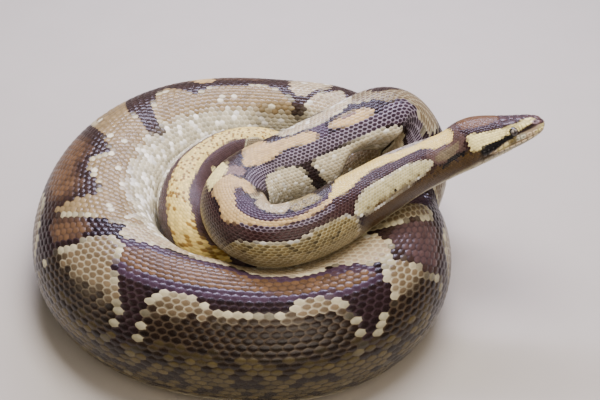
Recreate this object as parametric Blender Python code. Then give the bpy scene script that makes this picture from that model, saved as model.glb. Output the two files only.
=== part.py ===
"""Coiled ball python, life size, resting on the floor with its head raised off the coil.

The animal is one long body swept along a spine.  The spine starts at the snout,
crosses over the coil, makes a hairpin, drops to the floor at the right and then
runs once round the outside and once round the inside to the tip of the tail.
Where two lengths of the body lie against each other both are pressed flat, so
they touch along a soft face and never pass through each other.

Sizes are in millimetres in the tables and are turned into metres on the way out.
"""
import math

import bmesh
import bpy
import numpy as np
from mathutils import Vector

MM = 0.001                 # tables are in millimetres, the model is in metres
FINE_STEP = 2.0            # spacing of the spine samples
RING_STEP = 11.5           # spacing of the cross sections of the built body, at most
STEP_BY_GIRTH = 0.50       # and no more than this share of the half width
SECTORS = 26               # corners in one cross section of the body
HEAD_SECTORS = 32          # corners in one cross section of the head
SKIN_GAP = 1.2             # air left between two lengths that press together
CUT_GAP = 0.32             # air left between two named lengths of the body
NEAR_BODY = 2.3            # neighbours closer than this many half widths are the same bend
FOLD_SHARE = 0.90          # how near the inside of a bend may come to folding over itself
PRESS_SECTORS = 80         # the pressed faces are worked out at this many angles
PRESS_SOFT_ROWS = 4        # spine samples over which the rim of a pressed face is rounded
PRESS_SOFT_SECTORS = 2     # and angles
NEAR_LEAST = 45.0          # and never less than this
TURN_WINDOW = 30.0         # length over which the cross sections share out a sharp turn
LOAF = 2.2                 # how square the lower half of a cross section is (2 is round)

MIDDLE = (-10.2, -25.0)      # where the middle of the outline falls in the course's own x and y

# The course of the spine: x to the right, y away from the front, z up.
COURSE = (
    ("snout tip", 146.4, -25, 107.6),
    ("eyes", 125.4, -29, 101.8),
    ("jaw corner", 103.8, -31.8, 96.2),
    ("nape", 90.6, -35, 91.6),
    ("neck over the coil", 68, -46, 88.2),
    ("neck", 47, -62, 86),
    ("neck lowers", 26, -80, 84),
    ("neck on the front coil", 3, -95, 80),
    ("hairpin in", -19, -97, 77),
    ("hairpin left", -33, -81, 74),
    ("hairpin back", -39, -57, 71),
    ("hairpin out", -30, -36, 70),
    ("top stretch", -9, -23, 72),
    ("top stretch rising", 16, -7, 74),
    ("top stretch end", 41, 10, 75),
    ("shoulder of the drop", 59, 24, 69),
    ("drop", 67, 13, 54),
    ("foot of the drop", 57, -10, 38),
    ("outer coil right", 56, -48, 36.5),
    ("outer coil front right", 42, -99, 34.5),
    ("outer coil front", 6, -126, 34),
    ("outer coil front left", -40, -128, 34),
    ("outer coil left corner", -88, -110, 34),
    ("outer coil left", -119, -70, 34),
    ("outer coil back left", -127, -14, 34),
    ("outer coil back corner", -114, 36, 34),
    ("outer coil back", -83, 70, 33.5),
    ("outer coil far back", -42, 83, 32),
    ("outer coil far right", 0, 84, 30.5),
    ("turns inward", 27, 81, 28.5),
    ("inner coil right", 43, 60, 26),
    ("inner coil under the top stretch", 33, 31, 24),
    ("inner coil middle", 13, 3, 22.5),
    ("inner coil under the hairpin", -9, -31, 23),
    ("inner coil lifts", -38, -51, 31),
    ("hind body shows", -60, -54, 43),
    ("hind body left", -72, -29, 48.5),
    ("hind body back left", -65, 6, 49.5),
    ("tail", -41, 32, 49),
    ("tail thins", -13, 38, 45),
    ("tail passes under", -1, 34, 40),
    ("tail tip", 5, 29, 37),
)

# Girth: the course point it belongs to, half width, half height.
GIRTH = (
    ("nape", 14.8, 12.6),
    ("neck over the coil", 15.6, 14),
    ("neck", 17, 16),
    ("neck on the front coil", 19, 18),
    ("hairpin back", 20.5, 19.5),
    ("top stretch", 22, 21),
    ("top stretch rising", 24, 22),
    ("top stretch end", 26, 24.5),
    ("shoulder of the drop", 27, 26.5),
    ("drop", 28.5, 27.5),
    ("foot of the drop", 32, 30),
    ("outer coil right", 36.5, 33.5),
    ("outer coil front right", 39.5, 35),
    ("outer coil front", 40.5, 35.5),
    ("outer coil left corner", 41, 35.5),
    ("outer coil back left", 40, 35.5),
    ("outer coil back", 39, 34.5),
    ("outer coil far right", 35, 31.5),
    ("turns inward", 32, 29.5),
    ("inner coil right", 28.5, 27),
    ("inner coil under the top stretch", 25.5, 24.5),
    ("inner coil middle", 23.5, 23),
    ("inner coil under the hairpin", 22.5, 21.5),
    ("hind body shows", 19.5, 19),
    ("hind body left", 17.5, 17.5),
    ("hind body back left", 16, 16),
    ("tail", 13.5, 13),
    ("tail thins", 9.5, 9),
    ("tail passes under", 5.5, 5.2),
    ("tail tip", 1.6, 1.6),
)

# How far the back leans over, in degrees: plus leans to the animal's level side, which
# is toward the inside on the outer coil and toward the front on the top stretch.
ROLL = (
    ("snout tip", 17),
    ("jaw corner", 16),
    ("nape", 7),
    ("neck over the coil", -4.5),
    ("neck", -7),
    ("neck on the front coil", -8),
    ("hairpin back", 0),
    ("top stretch", 9),
    ("top stretch end", 12),
    ("shoulder of the drop", 8),
    ("outer coil right", -24),
    ("outer coil front", -14),
    ("outer coil front left", -14),
    ("outer coil back left", -24),
    ("outer coil back", -22),
    ("outer coil far right", -18),
    ("inner coil right", -8),
    ("inner coil middle", 0),
    ("tail tip", 0),
)

# The head: distance back from the snout, half width, crown above and throat below the
# level of the lips.
HEAD = (
    (0.0, 0.0, 0.0, 0.0),
    (0.7, 3.6, 2.3, 2.1),
    (2.5, 6.3, 4.3, 3.8),
    (6.0, 8.6, 6.4, 5.4),
    (11.0, 10.2, 8.2, 6.8),
    (17.0, 11.6, 9.9, 7.9),
    (22.5, 13.0, 11.3, 8.8),
    (29.0, 15.6, 13.0, 9.8),
    (36.0, 18.0, 14.7, 10.8),
    (42.0, 19.2, 15.7, 11.6),
    (47.0, 19.0, 15.9, 12.0),
    (52.0, 17.6, 15.4, 12.2),
    (58.0, 15.8, 14.0, 12.4),
    (66.0, 15.2, 13.0, 12.8),
)
HEAD_LENGTH = 52.0         # where the head node ends and the neck begins
HEAD_BLEND = (54.0, 68.0)  # over this length the head's sizes hand over to the body's
EYE_BACK = 21.5            # eye centre behind the snout tip
EYE_HEIGHT = 4.1           # eye centre above the lips
EYE_RADIUS = 3.1
EYE_INSET = 2.70           # how far the eyeball sits in from the cheek
EYE_SEAT_GAP = 0.30        # air round the eyeball in its socket
BROW_HEIGHT = 1.0          # ridge over the eye
BROW_LENGTH = 7.0
NOSTRIL_BACK = 6.2         # nostril behind the snout tip
NOSTRIL_HEIGHT = 4.7       # and above the middle of the head
NOSTRIL_DEPTH = 0.9
NOSTRIL_SPREAD = 1.5
LIP_GROOVE = 0.35
SNOUT_FLAT = 0.10          # how much the side of the snout is drawn in
TAIL_TIP_REACH = 1.2       # the point of the tail beyond its last cross section

# The named lengths of body, each from the first course point to the second.
LENGTHS = (
    ("neck_front", "nape", "neck lowers"),
    ("neck_rear", "neck lowers", "hairpin left"),
    ("hairpin_bend", "hairpin left", "top stretch"),
    ("top_stretch", "top stretch", "shoulder of the drop"),
    ("right_drop", "shoulder of the drop", "outer coil right"),
    ("coil_front_right", "outer coil right", "outer coil front"),
    ("coil_front_left", "outer coil front", "outer coil left corner"),
    ("coil_left", "outer coil left corner", "outer coil back left"),
    ("coil_back_left", "outer coil back left", "outer coil back"),
    ("coil_back", "outer coil back", "turns inward"),
    ("inner_coil_right", "turns inward", "inner coil middle"),
    ("inner_coil_left", "inner coil middle", "hind body shows"),
    ("hind_body", "hind body shows", "tail"),
    ("tail", "tail", "tail tip"),
)

# Colours (sRGB, 0 to 1), roughness.
BACK_BROWN = (0.31, 0.22, 0.21)
FLANK_TAN = (0.62, 0.53, 0.39)
NECK_CREAM = (0.74, 0.68, 0.47)
HEAD_BROWN = (0.34, 0.25, 0.22)
EYE_DARK = (0.10, 0.09, 0.08)
SCALE_ROUGHNESS = 0.42
EYE_ROUGHNESS = 0.08


# ---------------------------------------------------------------- curves

def natural_spline(knots, values, at):
    """Smooth curve through values (rows) at the knots, read at the places in at."""
    knots = np.asarray(knots, float)
    values = np.asarray(values, float)
    count = len(knots)
    step = np.diff(knots)
    matrix = np.eye(count)
    right = np.zeros_like(values)
    for i in range(1, count - 1):
        matrix[i, i - 1:i + 2] = (step[i - 1], 2 * (step[i - 1] + step[i]), step[i])
        right[i] = 6 * ((values[i + 1] - values[i]) / step[i]
                        - (values[i] - values[i - 1]) / step[i - 1])
    bend = np.linalg.solve(matrix, right)
    at = np.asarray(at, float)
    i = np.clip(np.searchsorted(knots, at, side="right") - 1, 0, count - 2)
    lower = ((at - knots[i]) / step[i])[:, None]
    upper = 1 - lower
    reach = (step[i] ** 2 / 6)[:, None]
    return (upper * values[i] + lower * values[i + 1]
            + reach * ((upper ** 3 - upper) * bend[i] + (lower ** 3 - lower) * bend[i + 1]))


def smooth_steps(knots, values, at):
    """Curve through the values that never overshoots between two of them."""
    knots = np.asarray(knots, float)
    values = np.asarray(values, float)
    step = np.diff(knots)
    rise = np.diff(values) / step
    slope = np.zeros_like(values)
    slope[0], slope[-1] = rise[0], rise[-1]
    for i in range(1, len(knots) - 1):
        if rise[i - 1] * rise[i] > 0:
            a, b = 2 * step[i] + step[i - 1], step[i] + 2 * step[i - 1]
            slope[i] = (a + b) / (a / rise[i - 1] + b / rise[i])
    at = np.clip(np.asarray(at, float), knots[0], knots[-1])
    i = np.clip(np.searchsorted(knots, at, side="right") - 1, 0, len(knots) - 2)
    t = (at - knots[i]) / step[i]
    h = step[i]
    return ((2 * t ** 3 - 3 * t ** 2 + 1) * values[i] + (t ** 3 - 2 * t ** 2 + t) * h * slope[i]
            + (3 * t ** 2 - 2 * t ** 3) * values[i + 1] + (t ** 3 - t ** 2) * h * slope[i + 1])


def unit(rows):
    """Rows scaled to length one."""
    return rows / np.linalg.norm(rows, axis=-1, keepdims=True)


def softened(grid, axis, reach, ends):
    """The grid with its dips widened by reach and then smoothed, so it never rises."""
    grid = np.moveaxis(grid, axis, 0)
    pad = [(reach, reach)] + [(0, 0)] * (grid.ndim - 1)
    count = len(grid)
    wide = np.pad(grid, pad, mode=ends)
    low = np.min([wide[k:k + count] for k in range(2 * reach + 1)], axis=0)
    low = np.pad(low, pad, mode=ends)
    weight = 1 + np.cos(np.linspace(-1, 1, 2 * reach + 3)[1:-1] * math.pi)
    smooth = sum(w * low[k:k + count] for k, w in enumerate(weight / weight.sum()))
    return np.moveaxis(smooth, 0, axis)


# ---------------------------------------------------------------- the body

class Body:
    """The spine, its cross-section frames and girth, and the pressed skin round it."""

    def __init__(self):
        points = np.array([row[1:] for row in COURSE], float) - (*MIDDLE, 0.0)
        chord = np.concatenate([[0], np.cumsum(np.linalg.norm(np.diff(points, axis=0), axis=1))])
        dense = np.linspace(0, chord[-1], 6000)
        line = natural_spline(chord, points, dense)
        run = np.concatenate([[0], np.cumsum(np.linalg.norm(np.diff(line, axis=0), axis=1))])
        self.length = run[-1]
        count = int(round(self.length / FINE_STEP)) + 1
        self.s = np.linspace(0, self.length, count)
        self.centre = np.stack([np.interp(self.s, run, line[:, k]) for k in range(3)], axis=1)
        self.place = {row[0]: float(np.interp(c, dense, run)) for row, c in zip(COURSE, chord)}
        self.forward = self.shared_turn(unit(np.gradient(self.centre, axis=0)))
        level = unit(np.cross(self.forward, np.array([0.0, 0.0, 1.0])))
        rise = np.cross(level, self.forward)
        self.wide, self.tall, self.deep = self.girth()
        turn = np.radians(smooth_steps([self.place[row[0]] for row in ROLL],
                                       [row[1] for row in ROLL], self.s))[:, None]
        self.up = np.cos(turn) * rise + np.sin(turn) * level
        self.side = np.cross(self.forward, self.up)
        self.press()

    def girth(self):
        """Half width, height above the spine and depth below it at every spine sample."""
        stations = [self.place[row[0]] for row in GIRTH]
        wide = smooth_steps(stations, [row[1] for row in GIRTH], self.s)
        tall = smooth_steps(stations, [row[2] for row in GIRTH], self.s)
        back = [row[0] for row in HEAD]
        head = [smooth_steps(back, [row[k] for row in HEAD], self.s) for k in (1, 2, 3)]
        mix = np.clip((self.s - HEAD_BLEND[0]) / (HEAD_BLEND[1] - HEAD_BLEND[0]), 0, 1)
        mix = mix * mix * (3 - 2 * mix)
        return [head[k] * (1 - mix) + body * mix for k, body in enumerate((wide, tall, tall))]

    def shared_turn(self, forward):
        """Section directions that spread a sharp turn over TURN_WINDOW of the body."""
        reach = int(round(TURN_WINDOW / FINE_STEP))
        weight = np.cos(np.linspace(-1, 1, 2 * reach + 1) * math.pi / 2) ** 2
        padded = np.concatenate([np.repeat(forward[:1], reach, axis=0), forward,
                                 np.repeat(forward[-1:], reach, axis=0)])
        mixed = np.stack([np.convolve(padded[:, k], weight, mode="valid") for k in range(3)], axis=1)
        return unit(mixed)

    def at(self, distance):
        """Centre, forward, side and up at distances from the snout, then the half sizes."""
        distance = np.atleast_1d(np.asarray(distance, float))

        def read(rows):
            return np.stack([np.interp(distance, self.s, rows[:, k]) for k in range(3)], axis=1)
        forward = unit(read(self.forward))
        side = unit(np.cross(forward, read(self.up)))
        sizes = [np.interp(distance, self.s, size) for size in (self.wide, self.tall, self.deep)]
        return (read(self.centre), forward, side, np.cross(side, forward), *sizes)

    def section(self, angles):
        """Shape of a cross section of half size one: across and up, for angles from the back."""
        across, high = np.sin(angles), np.cos(angles)
        power = np.where(high < 0, 2 / LOAF, 1.0)
        return np.sign(across) * np.abs(across) ** power, np.sign(high) * np.abs(high) ** power

    def radius(self, distance, angles):
        """Centres and unpressed radii: one row of angles for each distance from the snout."""
        centre, _forward, side, up, wide, tall, deep = self.at(distance)
        across, high = self.section(angles)
        half = np.where(high[None, :] > 0, tall[:, None], deep[:, None])
        radius = ((wide[:, None] * across[None, :])[:, :, None] * side[:, None, :]
                  + (half * high[None, :])[:, :, None] * up[:, None, :])
        return centre, radius, wide

    def press(self):
        """Work out once, on a fine grid, how far each part of the skin is pressed in."""
        angles = np.arange(PRESS_SECTORS) * 2 * math.pi / PRESS_SECTORS
        centre, radius, wide = self.radius(self.s, angles)
        share = np.minimum(self.free_share(self.s, centre, radius, wide),
                           self.fold_share(self.s, centre, radius, wide))
        for axis, reach, ends in ((0, PRESS_SOFT_ROWS, "edge"), (1, PRESS_SOFT_SECTORS, "wrap")):
            share = softened(share, axis, reach, ends)
        self.share = np.concatenate([share, share[:, :1]], axis=1)

    def skin(self, distance, angles):
        """Points on the pressed skin: one row of angles for each distance from the snout."""
        distance = np.atleast_1d(np.asarray(distance, float))
        angles = np.asarray(angles, float)
        centre, radius, _wide = self.radius(distance, angles)
        row = np.clip(distance / self.length * (len(self.s) - 1), 0, len(self.s) - 1.001)
        column = angles / (2 * math.pi) % 1 * PRESS_SECTORS
        i, j = row.astype(int), column.astype(int)
        u, v = (row - i)[:, None], (column - j)[None, :]
        grid = self.share
        share = ((1 - u) * ((1 - v) * grid[np.ix_(i, j)] + v * grid[np.ix_(i, j + 1)])
                 + u * ((1 - v) * grid[np.ix_(i + 1, j)] + v * grid[np.ix_(i + 1, j + 1)]))
        drop = np.minimum(radius[:, :, 2], -1e-6)
        share = np.minimum(share, centre[:, None, 2] / -drop)
        return centre[:, None, :] + radius * share[:, :, None]

    def free_share(self, distance, centre, radius, wide):
        """How much of its radius each skin point keeps before it meets another length."""
        share = np.ones(radius.shape[:2])
        for i, here in enumerate(distance):
            apart = np.abs(self.s - here) > max(NEAR_BODY * wide[i], NEAR_LEAST)
            close = np.linalg.norm(self.centre - centre[i], axis=1) < wide[i] + self.wide + 6
            other = np.nonzero(apart & close)[0][::2]
            if len(other) == 0:
                continue
            low, high = np.full(radius.shape[1], 0.30), np.ones(radius.shape[1])
            clear = self.clearance(centre[i] + radius[i] * high[:, None], other, high)
            pressed = clear < 0
            for _ in range(14):
                middle = np.where(pressed, (low + high) / 2, 1.0)
                clear = self.clearance(centre[i] + radius[i] * middle[:, None], other, middle)
                high = np.where(pressed & (clear < 0), middle, high)
                low = np.where(pressed & (clear >= 0), middle, low)
            share[i] = np.where(pressed, low, 1.0)
        return share

    def fold_share(self, distance, centre, radius, wide):
        """How much of its radius each point keeps before the inside of a bend would fold."""
        share = np.ones(radius.shape[:2])
        for i, here in enumerate(distance):
            ahead = self.s - here
            near = np.nonzero((np.abs(ahead) > FINE_STEP) & (np.abs(ahead) < NEAR_BODY * wide[i]))[0]
            way = np.sign(ahead[near])
            room = way * np.einsum("ok,ok->o", self.centre[near] - centre[i], self.forward[near])
            lean = way * (radius[i] @ self.forward[near].T)
            limit = np.where(lean > 1e-6, room / np.maximum(lean, 1e-6), 9.0)
            share[i] = np.clip(FOLD_SHARE * limit.min(axis=1, initial=9.0), 0.2, 1.0)
        return share

    def clearance(self, points, other, share):
        """Room between points and the other lengths of body, as a share of their girth."""
        offset = points[:, None, :] - self.centre[other][None, :, :]
        across = np.einsum("pok,ok->po", offset, self.side[other]) / self.wide[other]
        high = np.einsum("pok,ok->po", offset, self.up[other]) / self.tall[other]
        along = np.einsum("pok,ok->po", offset, self.forward[other]) / self.tall[other]
        reach = np.sqrt(across ** 2 + high ** 2 + along ** 2)
        margin = SKIN_GAP / self.tall[other]
        return np.min(reach - margin[None, :], axis=1) - share

    def snout_cap(self):
        """The very tip of the snout."""
        return self.at(0.0)[0][0]


# ---------------------------------------------------------------- meshes

def clear_scene():
    """Take away whatever the new file holds."""
    for thing in list(bpy.data.objects):
        bpy.data.objects.remove(thing, do_unlink=True)
    for mesh in list(bpy.data.meshes):
        bpy.data.meshes.remove(mesh)


def finish(name, colour, roughness):
    """A plain finish in one colour."""
    material = bpy.data.materials.new(name)
    material.use_nodes = True
    shader = next(n for n in material.node_tree.nodes if n.type == "BSDF_PRINCIPLED")
    shader.inputs["Base Color"].default_value = (*colour, 1.0)
    shader.inputs["Roughness"].default_value = roughness
    shader.inputs["Metallic"].default_value = 0.0
    material.diffuse_color = (*colour, 1.0)
    return material


def closed_loft(name, rows, start, end, material):
    """One closed solid from rows of points, closed at each end to the given point."""
    mesh = bmesh.new()
    rings = [[mesh.verts.new(Vector(p) * MM) for p in row] for row in rows]
    first, last = mesh.verts.new(Vector(start) * MM), mesh.verts.new(Vector(end) * MM)
    count = len(rings[0])
    for a, b in zip(rings, rings[1:]):
        for i in range(count):
            j = (i + 1) % count
            mesh.faces.new((a[i], a[j], b[j], b[i]))
    for i in range(count):
        j = (i + 1) % count
        mesh.faces.new((rings[0][j], rings[0][i], first))
        mesh.faces.new((rings[-1][i], rings[-1][j], last))
    bmesh.ops.recalc_face_normals(mesh, faces=mesh.faces)
    bmesh.ops.triangulate(mesh, faces=mesh.faces)
    for face in mesh.faces:
        face.smooth = True
    data = bpy.data.meshes.new(name)
    mesh.to_mesh(data)
    mesh.free()
    data.materials.append(material)
    thing = bpy.data.objects.new(name, data)
    bpy.context.scene.collection.objects.link(thing)
    return thing


def ball(name, centre, radius, material):
    """A ball as a closed mesh."""
    mesh = bmesh.new()
    bmesh.ops.create_icosphere(mesh, subdivisions=2, radius=radius * MM)
    bmesh.ops.translate(mesh, verts=mesh.verts, vec=Vector(centre) * MM)
    for face in mesh.faces:
        face.smooth = True
    data = bpy.data.meshes.new(name)
    mesh.to_mesh(data)
    mesh.free()
    if material is not None:
        data.materials.append(material)
    thing = bpy.data.objects.new(name, data)
    bpy.context.scene.collection.objects.link(thing)
    return thing


def bump(distance, reach):
    """A smooth hill, one at the middle and nothing beyond its reach."""
    t = np.clip(np.abs(distance) / reach, 0, 1)
    return (1 - t * t) ** 2


# ---------------------------------------------------------------- the animal

def body_length(body, name, start, end, material):
    """One named length of the trunk, neck or tail between two distances."""
    start, end = start + CUT_GAP / 2, end - CUT_GAP / 2
    tail_end = end > body.length - 1
    if tail_end:
        end = body.length
    middle_width = float(body.at((start + end) / 2)[4][0])
    count = max(2, int(math.ceil((end - start) / min(RING_STEP, STEP_BY_GIRTH * middle_width))))
    distance = np.linspace(start, end, count + 1)
    angles = np.arange(SECTORS) * 2 * math.pi / SECTORS
    rows = body.skin(distance, angles)
    centre, forward = body.at([start, end])[:2]
    tip = centre[1] + forward[1] * (TAIL_TIP_REACH if tail_end else 0)
    return closed_loft(name, rows, centre[0], tip, material)


def head_rows(body):
    """Rows of points from the snout back, with brows, nostrils and the line of the lips."""
    distance = np.concatenate([[0.35, 1.2, 2.5, 4.2], np.arange(6.2, 34, 2.3),
                               np.linspace(37, HEAD_LENGTH - CUT_GAP / 2, 7)])
    angles = np.arange(HEAD_SECTORS) * 2 * math.pi / HEAD_SECTORS
    rows = body.skin(distance, angles)
    centre, _forward, side, up, wide, tall, _deep = body.at(distance)
    for i, back in enumerate(distance):
        offset = rows[i] - centre[i]
        across, high = offset @ side[i], offset @ up[i]
        out = np.sign(across) * np.clip(np.abs(across) / wide[i], 0, 1)
        brow = BROW_HEIGHT * bump(back - EYE_BACK, BROW_LENGTH) * bump(high - 0.72 * tall[i], 4.5)
        snout = -SNOUT_FLAT * wide[i] * bump(back - 13, 9) * bump(high - 2.5, 5)
        lips = -LIP_GROOVE * bump(high + 2.3, 1.6) * bump(back - 20, 26)
        nostril = -NOSTRIL_DEPTH * bump(np.hypot(back - NOSTRIL_BACK, high - NOSTRIL_HEIGHT),
                                        2 * NOSTRIL_SPREAD)
        push = (brow + snout + lips + nostril) * np.abs(out)
        rows[i] += np.outer(push * np.sign(across), side[i])
    return rows, centre


def eye_centres(body):
    """Where the middles of the two eyeballs lie: left first, then right."""
    centre, _forward, side, up, wide = body.at(EYE_BACK)[:5]
    for sign in (1, -1):
        yield centre[0] + up[0] * EYE_HEIGHT + side[0] * sign * (wide[0] - EYE_INSET)


def build_head(body, skin, glass):
    """The head with a socket for each eye, and the two eyes."""
    rows, centre = head_rows(body)
    head = closed_loft("head", rows, body.snout_cap(), centre[-1], skin)
    for name, middle in zip(("eye_left", "eye_right"), eye_centres(body)):
        ball(name, middle, EYE_RADIUS, glass)
        socket = ball(name + "_socket", middle, EYE_RADIUS + EYE_SEAT_GAP, None)
        socket.hide_render = True
        socket.display_type = "WIRE"
        cut = head.modifiers.new("socket", "BOOLEAN")
        cut.operation = "DIFFERENCE"
        cut.solver = "EXACT"
        cut.object = socket


def main():
    """Build the whole animal."""
    clear_scene()
    body = Body()
    skins = {
        "neck": finish("neck skin", NECK_CREAM, SCALE_ROUGHNESS),
        "trunk": finish("back skin", BACK_BROWN, SCALE_ROUGHNESS),
        "hind": finish("flank skin", FLANK_TAN, SCALE_ROUGHNESS),
    }
    build_head(body, finish("head skin", HEAD_BROWN, SCALE_ROUGHNESS),
               finish("eye", EYE_DARK, EYE_ROUGHNESS))
    for name, first, last in LENGTHS:
        start = HEAD_LENGTH if first == "nape" else body.place[first]
        kind = "neck" if name.startswith("neck") else "trunk"
        kind = "hind" if name in ("hind_body", "tail", "top_stretch") else kind
        body_length(body, name, start, body.place[last], skins[kind])


main()
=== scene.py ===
"""Looks of the coiled ball python: skin, scales, head plates, eyes, light and camera.

The solids of the frame give the animal's shape.  One closed skin replaces all the solids
of flesh, and thousands of small overlapping scales of solid mesh lie on it.  Skin and
scales take their colours from the same markings, which are drawn as outlines on the
unrolled body: how far back from the snout, and how far round from the ridge of the back.

Tables are in millimetres and degrees; meshes are in metres, like the frame.
"""
import logging
import math
from dataclasses import dataclass, field, replace
from enum import Enum
from typing import Optional, Sequence

import bpy
import numpy as np
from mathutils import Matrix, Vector


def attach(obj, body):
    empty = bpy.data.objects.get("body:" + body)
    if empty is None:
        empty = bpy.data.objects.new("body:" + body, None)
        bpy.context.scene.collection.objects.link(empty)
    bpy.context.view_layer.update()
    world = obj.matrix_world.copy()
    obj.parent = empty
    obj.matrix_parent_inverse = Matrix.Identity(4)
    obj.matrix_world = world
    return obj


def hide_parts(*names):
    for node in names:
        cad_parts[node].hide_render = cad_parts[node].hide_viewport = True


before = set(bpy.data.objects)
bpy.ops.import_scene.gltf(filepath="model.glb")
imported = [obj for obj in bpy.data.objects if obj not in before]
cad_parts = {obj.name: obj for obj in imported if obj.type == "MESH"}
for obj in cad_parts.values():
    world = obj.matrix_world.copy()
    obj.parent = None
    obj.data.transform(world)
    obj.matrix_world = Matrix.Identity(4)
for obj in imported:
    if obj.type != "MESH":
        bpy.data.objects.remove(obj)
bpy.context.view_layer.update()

log = logging.getLogger("python")
MM = 0.001
Rows = np.ndarray


# ---------------------------------------------------------------- colours

def linear(code: str) -> tuple[float, float, float]:
    """Turn an sRGB hex colour into linear light.

    Args:
        code: the colour, as #rrggbb.

    Returns:
        Red, green and blue in linear light.
    """
    parts = [int(code[i:i + 2], 16) / 255 for i in (1, 3, 5)]
    return tuple(p / 12.92 if p <= 0.04045 else ((p + 0.055) / 1.055) ** 2.4 for p in parts)


@dataclass(frozen=True)
class Paint:
    """How the scales of one part of the pattern are coloured.

    fill is the middle of a scale and rim its border; scatter is how much scales differ in
    brightness; fleck is the colour of odd scales and flecks their share of all.
    """

    fill: str
    rim: str
    scatter: float = 0.07
    fleck: str = "#000000"
    flecks: float = 0.0


class Pigment(Enum):
    """The colours of the animal's pattern."""

    GROUND = Paint("#1e1211", "#37282a", 0.14)
    PURPLE = Paint("#3a2934", "#4b3a47", 0.12)
    MAROON = Paint("#2c1a18", "#4e3835", 0.12)
    # Dark scales with pale lilac rims; the rims are partly the skin's pale edges and partly painted
    # highlights on the raised scale edges.
    NET = Paint("#32242c", "#a69aa4", 0.11)
    BACK = Paint("#654b34", "#47362b", 0.13)
    BACK_MID = Paint("#4d392b", "#392b24", 0.13)
    BACK_PALE = Paint("#7a6258", "#664f48", 0.10)
    BACK_DARK = Paint("#352620", "#2c1f1b", 0.12)
    TAN = Paint("#69583f", "#aca183", 0.10)
    TAN_PLAIN = Paint("#c2a26c", "#b39461", 0.08)
    # A pale tan painted lighter than the skin's own: painted light on the near flank of the top stretch,
    # which is in shade.
    TAN_LIGHT = Paint("#cdbf9a", "#ece4ca", 0.10, "#f3efdc", 0.06)
    TAN_GREY = Paint("#a08c6c", "#cdc09e", 0.10, "#e2dfcc", 0.03)
    NECK = Paint("#dcc06e", "#ccb060", 0.06)
    OLIVE = Paint("#74643c", "#b3a67a", 0.20, "#4e4226", 0.16)
    OLIVE_PALE = Paint("#b3a672", "#d2caa2", 0.12)
    CREAM = Paint("#f0df98", "#e2cf86", 0.06)
    TAN_INNER = Paint("#8a7551", "#786543", 0.10, "#ded4b6", 0.03)
    EDGE = Paint("#cbc29c", "#b3aa84", 0.12)
    HIND = Paint("#4f3b38", "#3c2f30", 0.11)
    # Near black brown. A real spot in the neck patch; as the lower part of the front and left patches it is
    # partly the dark low flank and partly painted shade where the flank turns away from the light.
    UMBER = Paint("#1c120b", "#4a3d2e", 0.18)
    PALE = Paint("#b4ab8e", "#d2cbb0", 0.14, "#f6f2e2", 0.26)
    STREAKS = Paint("#9b9086", "#b3a9a0", 0.12, "#5d5044", 0.16)
    # Checkered olive and brown of the low flank, darkened with painted shade where the flank turns away from
    # the light.
    CHECK = Paint("#5c5030", "#30271a", 0.18, "#211810", 0.38)
    YELLOW = Paint("#dfc674", "#c6aa5a", 0.12, "#8a6a30", 0.22)
    BELLY = Paint("#d9d0ae", "#c4ba96", 0.07, "#85755a", 0.05)
    CROWN = Paint("#68482c", "#533a28", 0.10)
    CROWN_FRONT = Paint("#4e393b", "#413031", 0.08)
    CROWN_EDGE = Paint("#291513", "#35211f", 0.10)
    COLLAR = Paint("#503c36", "#5c4843", 0.10)
    COLLAR_MID = Paint("#6e6049", "#5c503e", 0.12)
    BLACK = Paint("#0c090b", "#171214", 0.10)
    LIP = Paint("#dcc6a0", "#b0967a", 0.14)
    LIP_PALE = Paint("#d3cdb2", "#a89e86", 0.10)
    SNOUT = Paint("#5d4644", "#4b3637", 0.08)
    NOSE_RING = Paint("#9c8584", "#84696a", 0.08)
    # Painted shade: the throat, the jaw and the low flank of the neck, darkened and browned as they look in
    # shade, with a painted reflection of brown light from the ground.
    SHADED_UNDERSIDE = Paint("#503b1d", "#423219", 0.10)


# ---------------------------------------------------------------- the body's course

@dataclass(frozen=True)
class Station:
    """A place where the spine passes, and the body's half width, half height and lean if it sets them.

    The lean is how far the back leans over, in degrees, toward the body's level side.
    """

    name: str
    x: float
    y: float
    z: float
    wide: Optional[float] = None
    tall: Optional[float] = None
    lean: Optional[float] = None


# The middle of the coil, which the frame has at its origin.
MIDDLE = (-10.2, -25.0)

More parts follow.
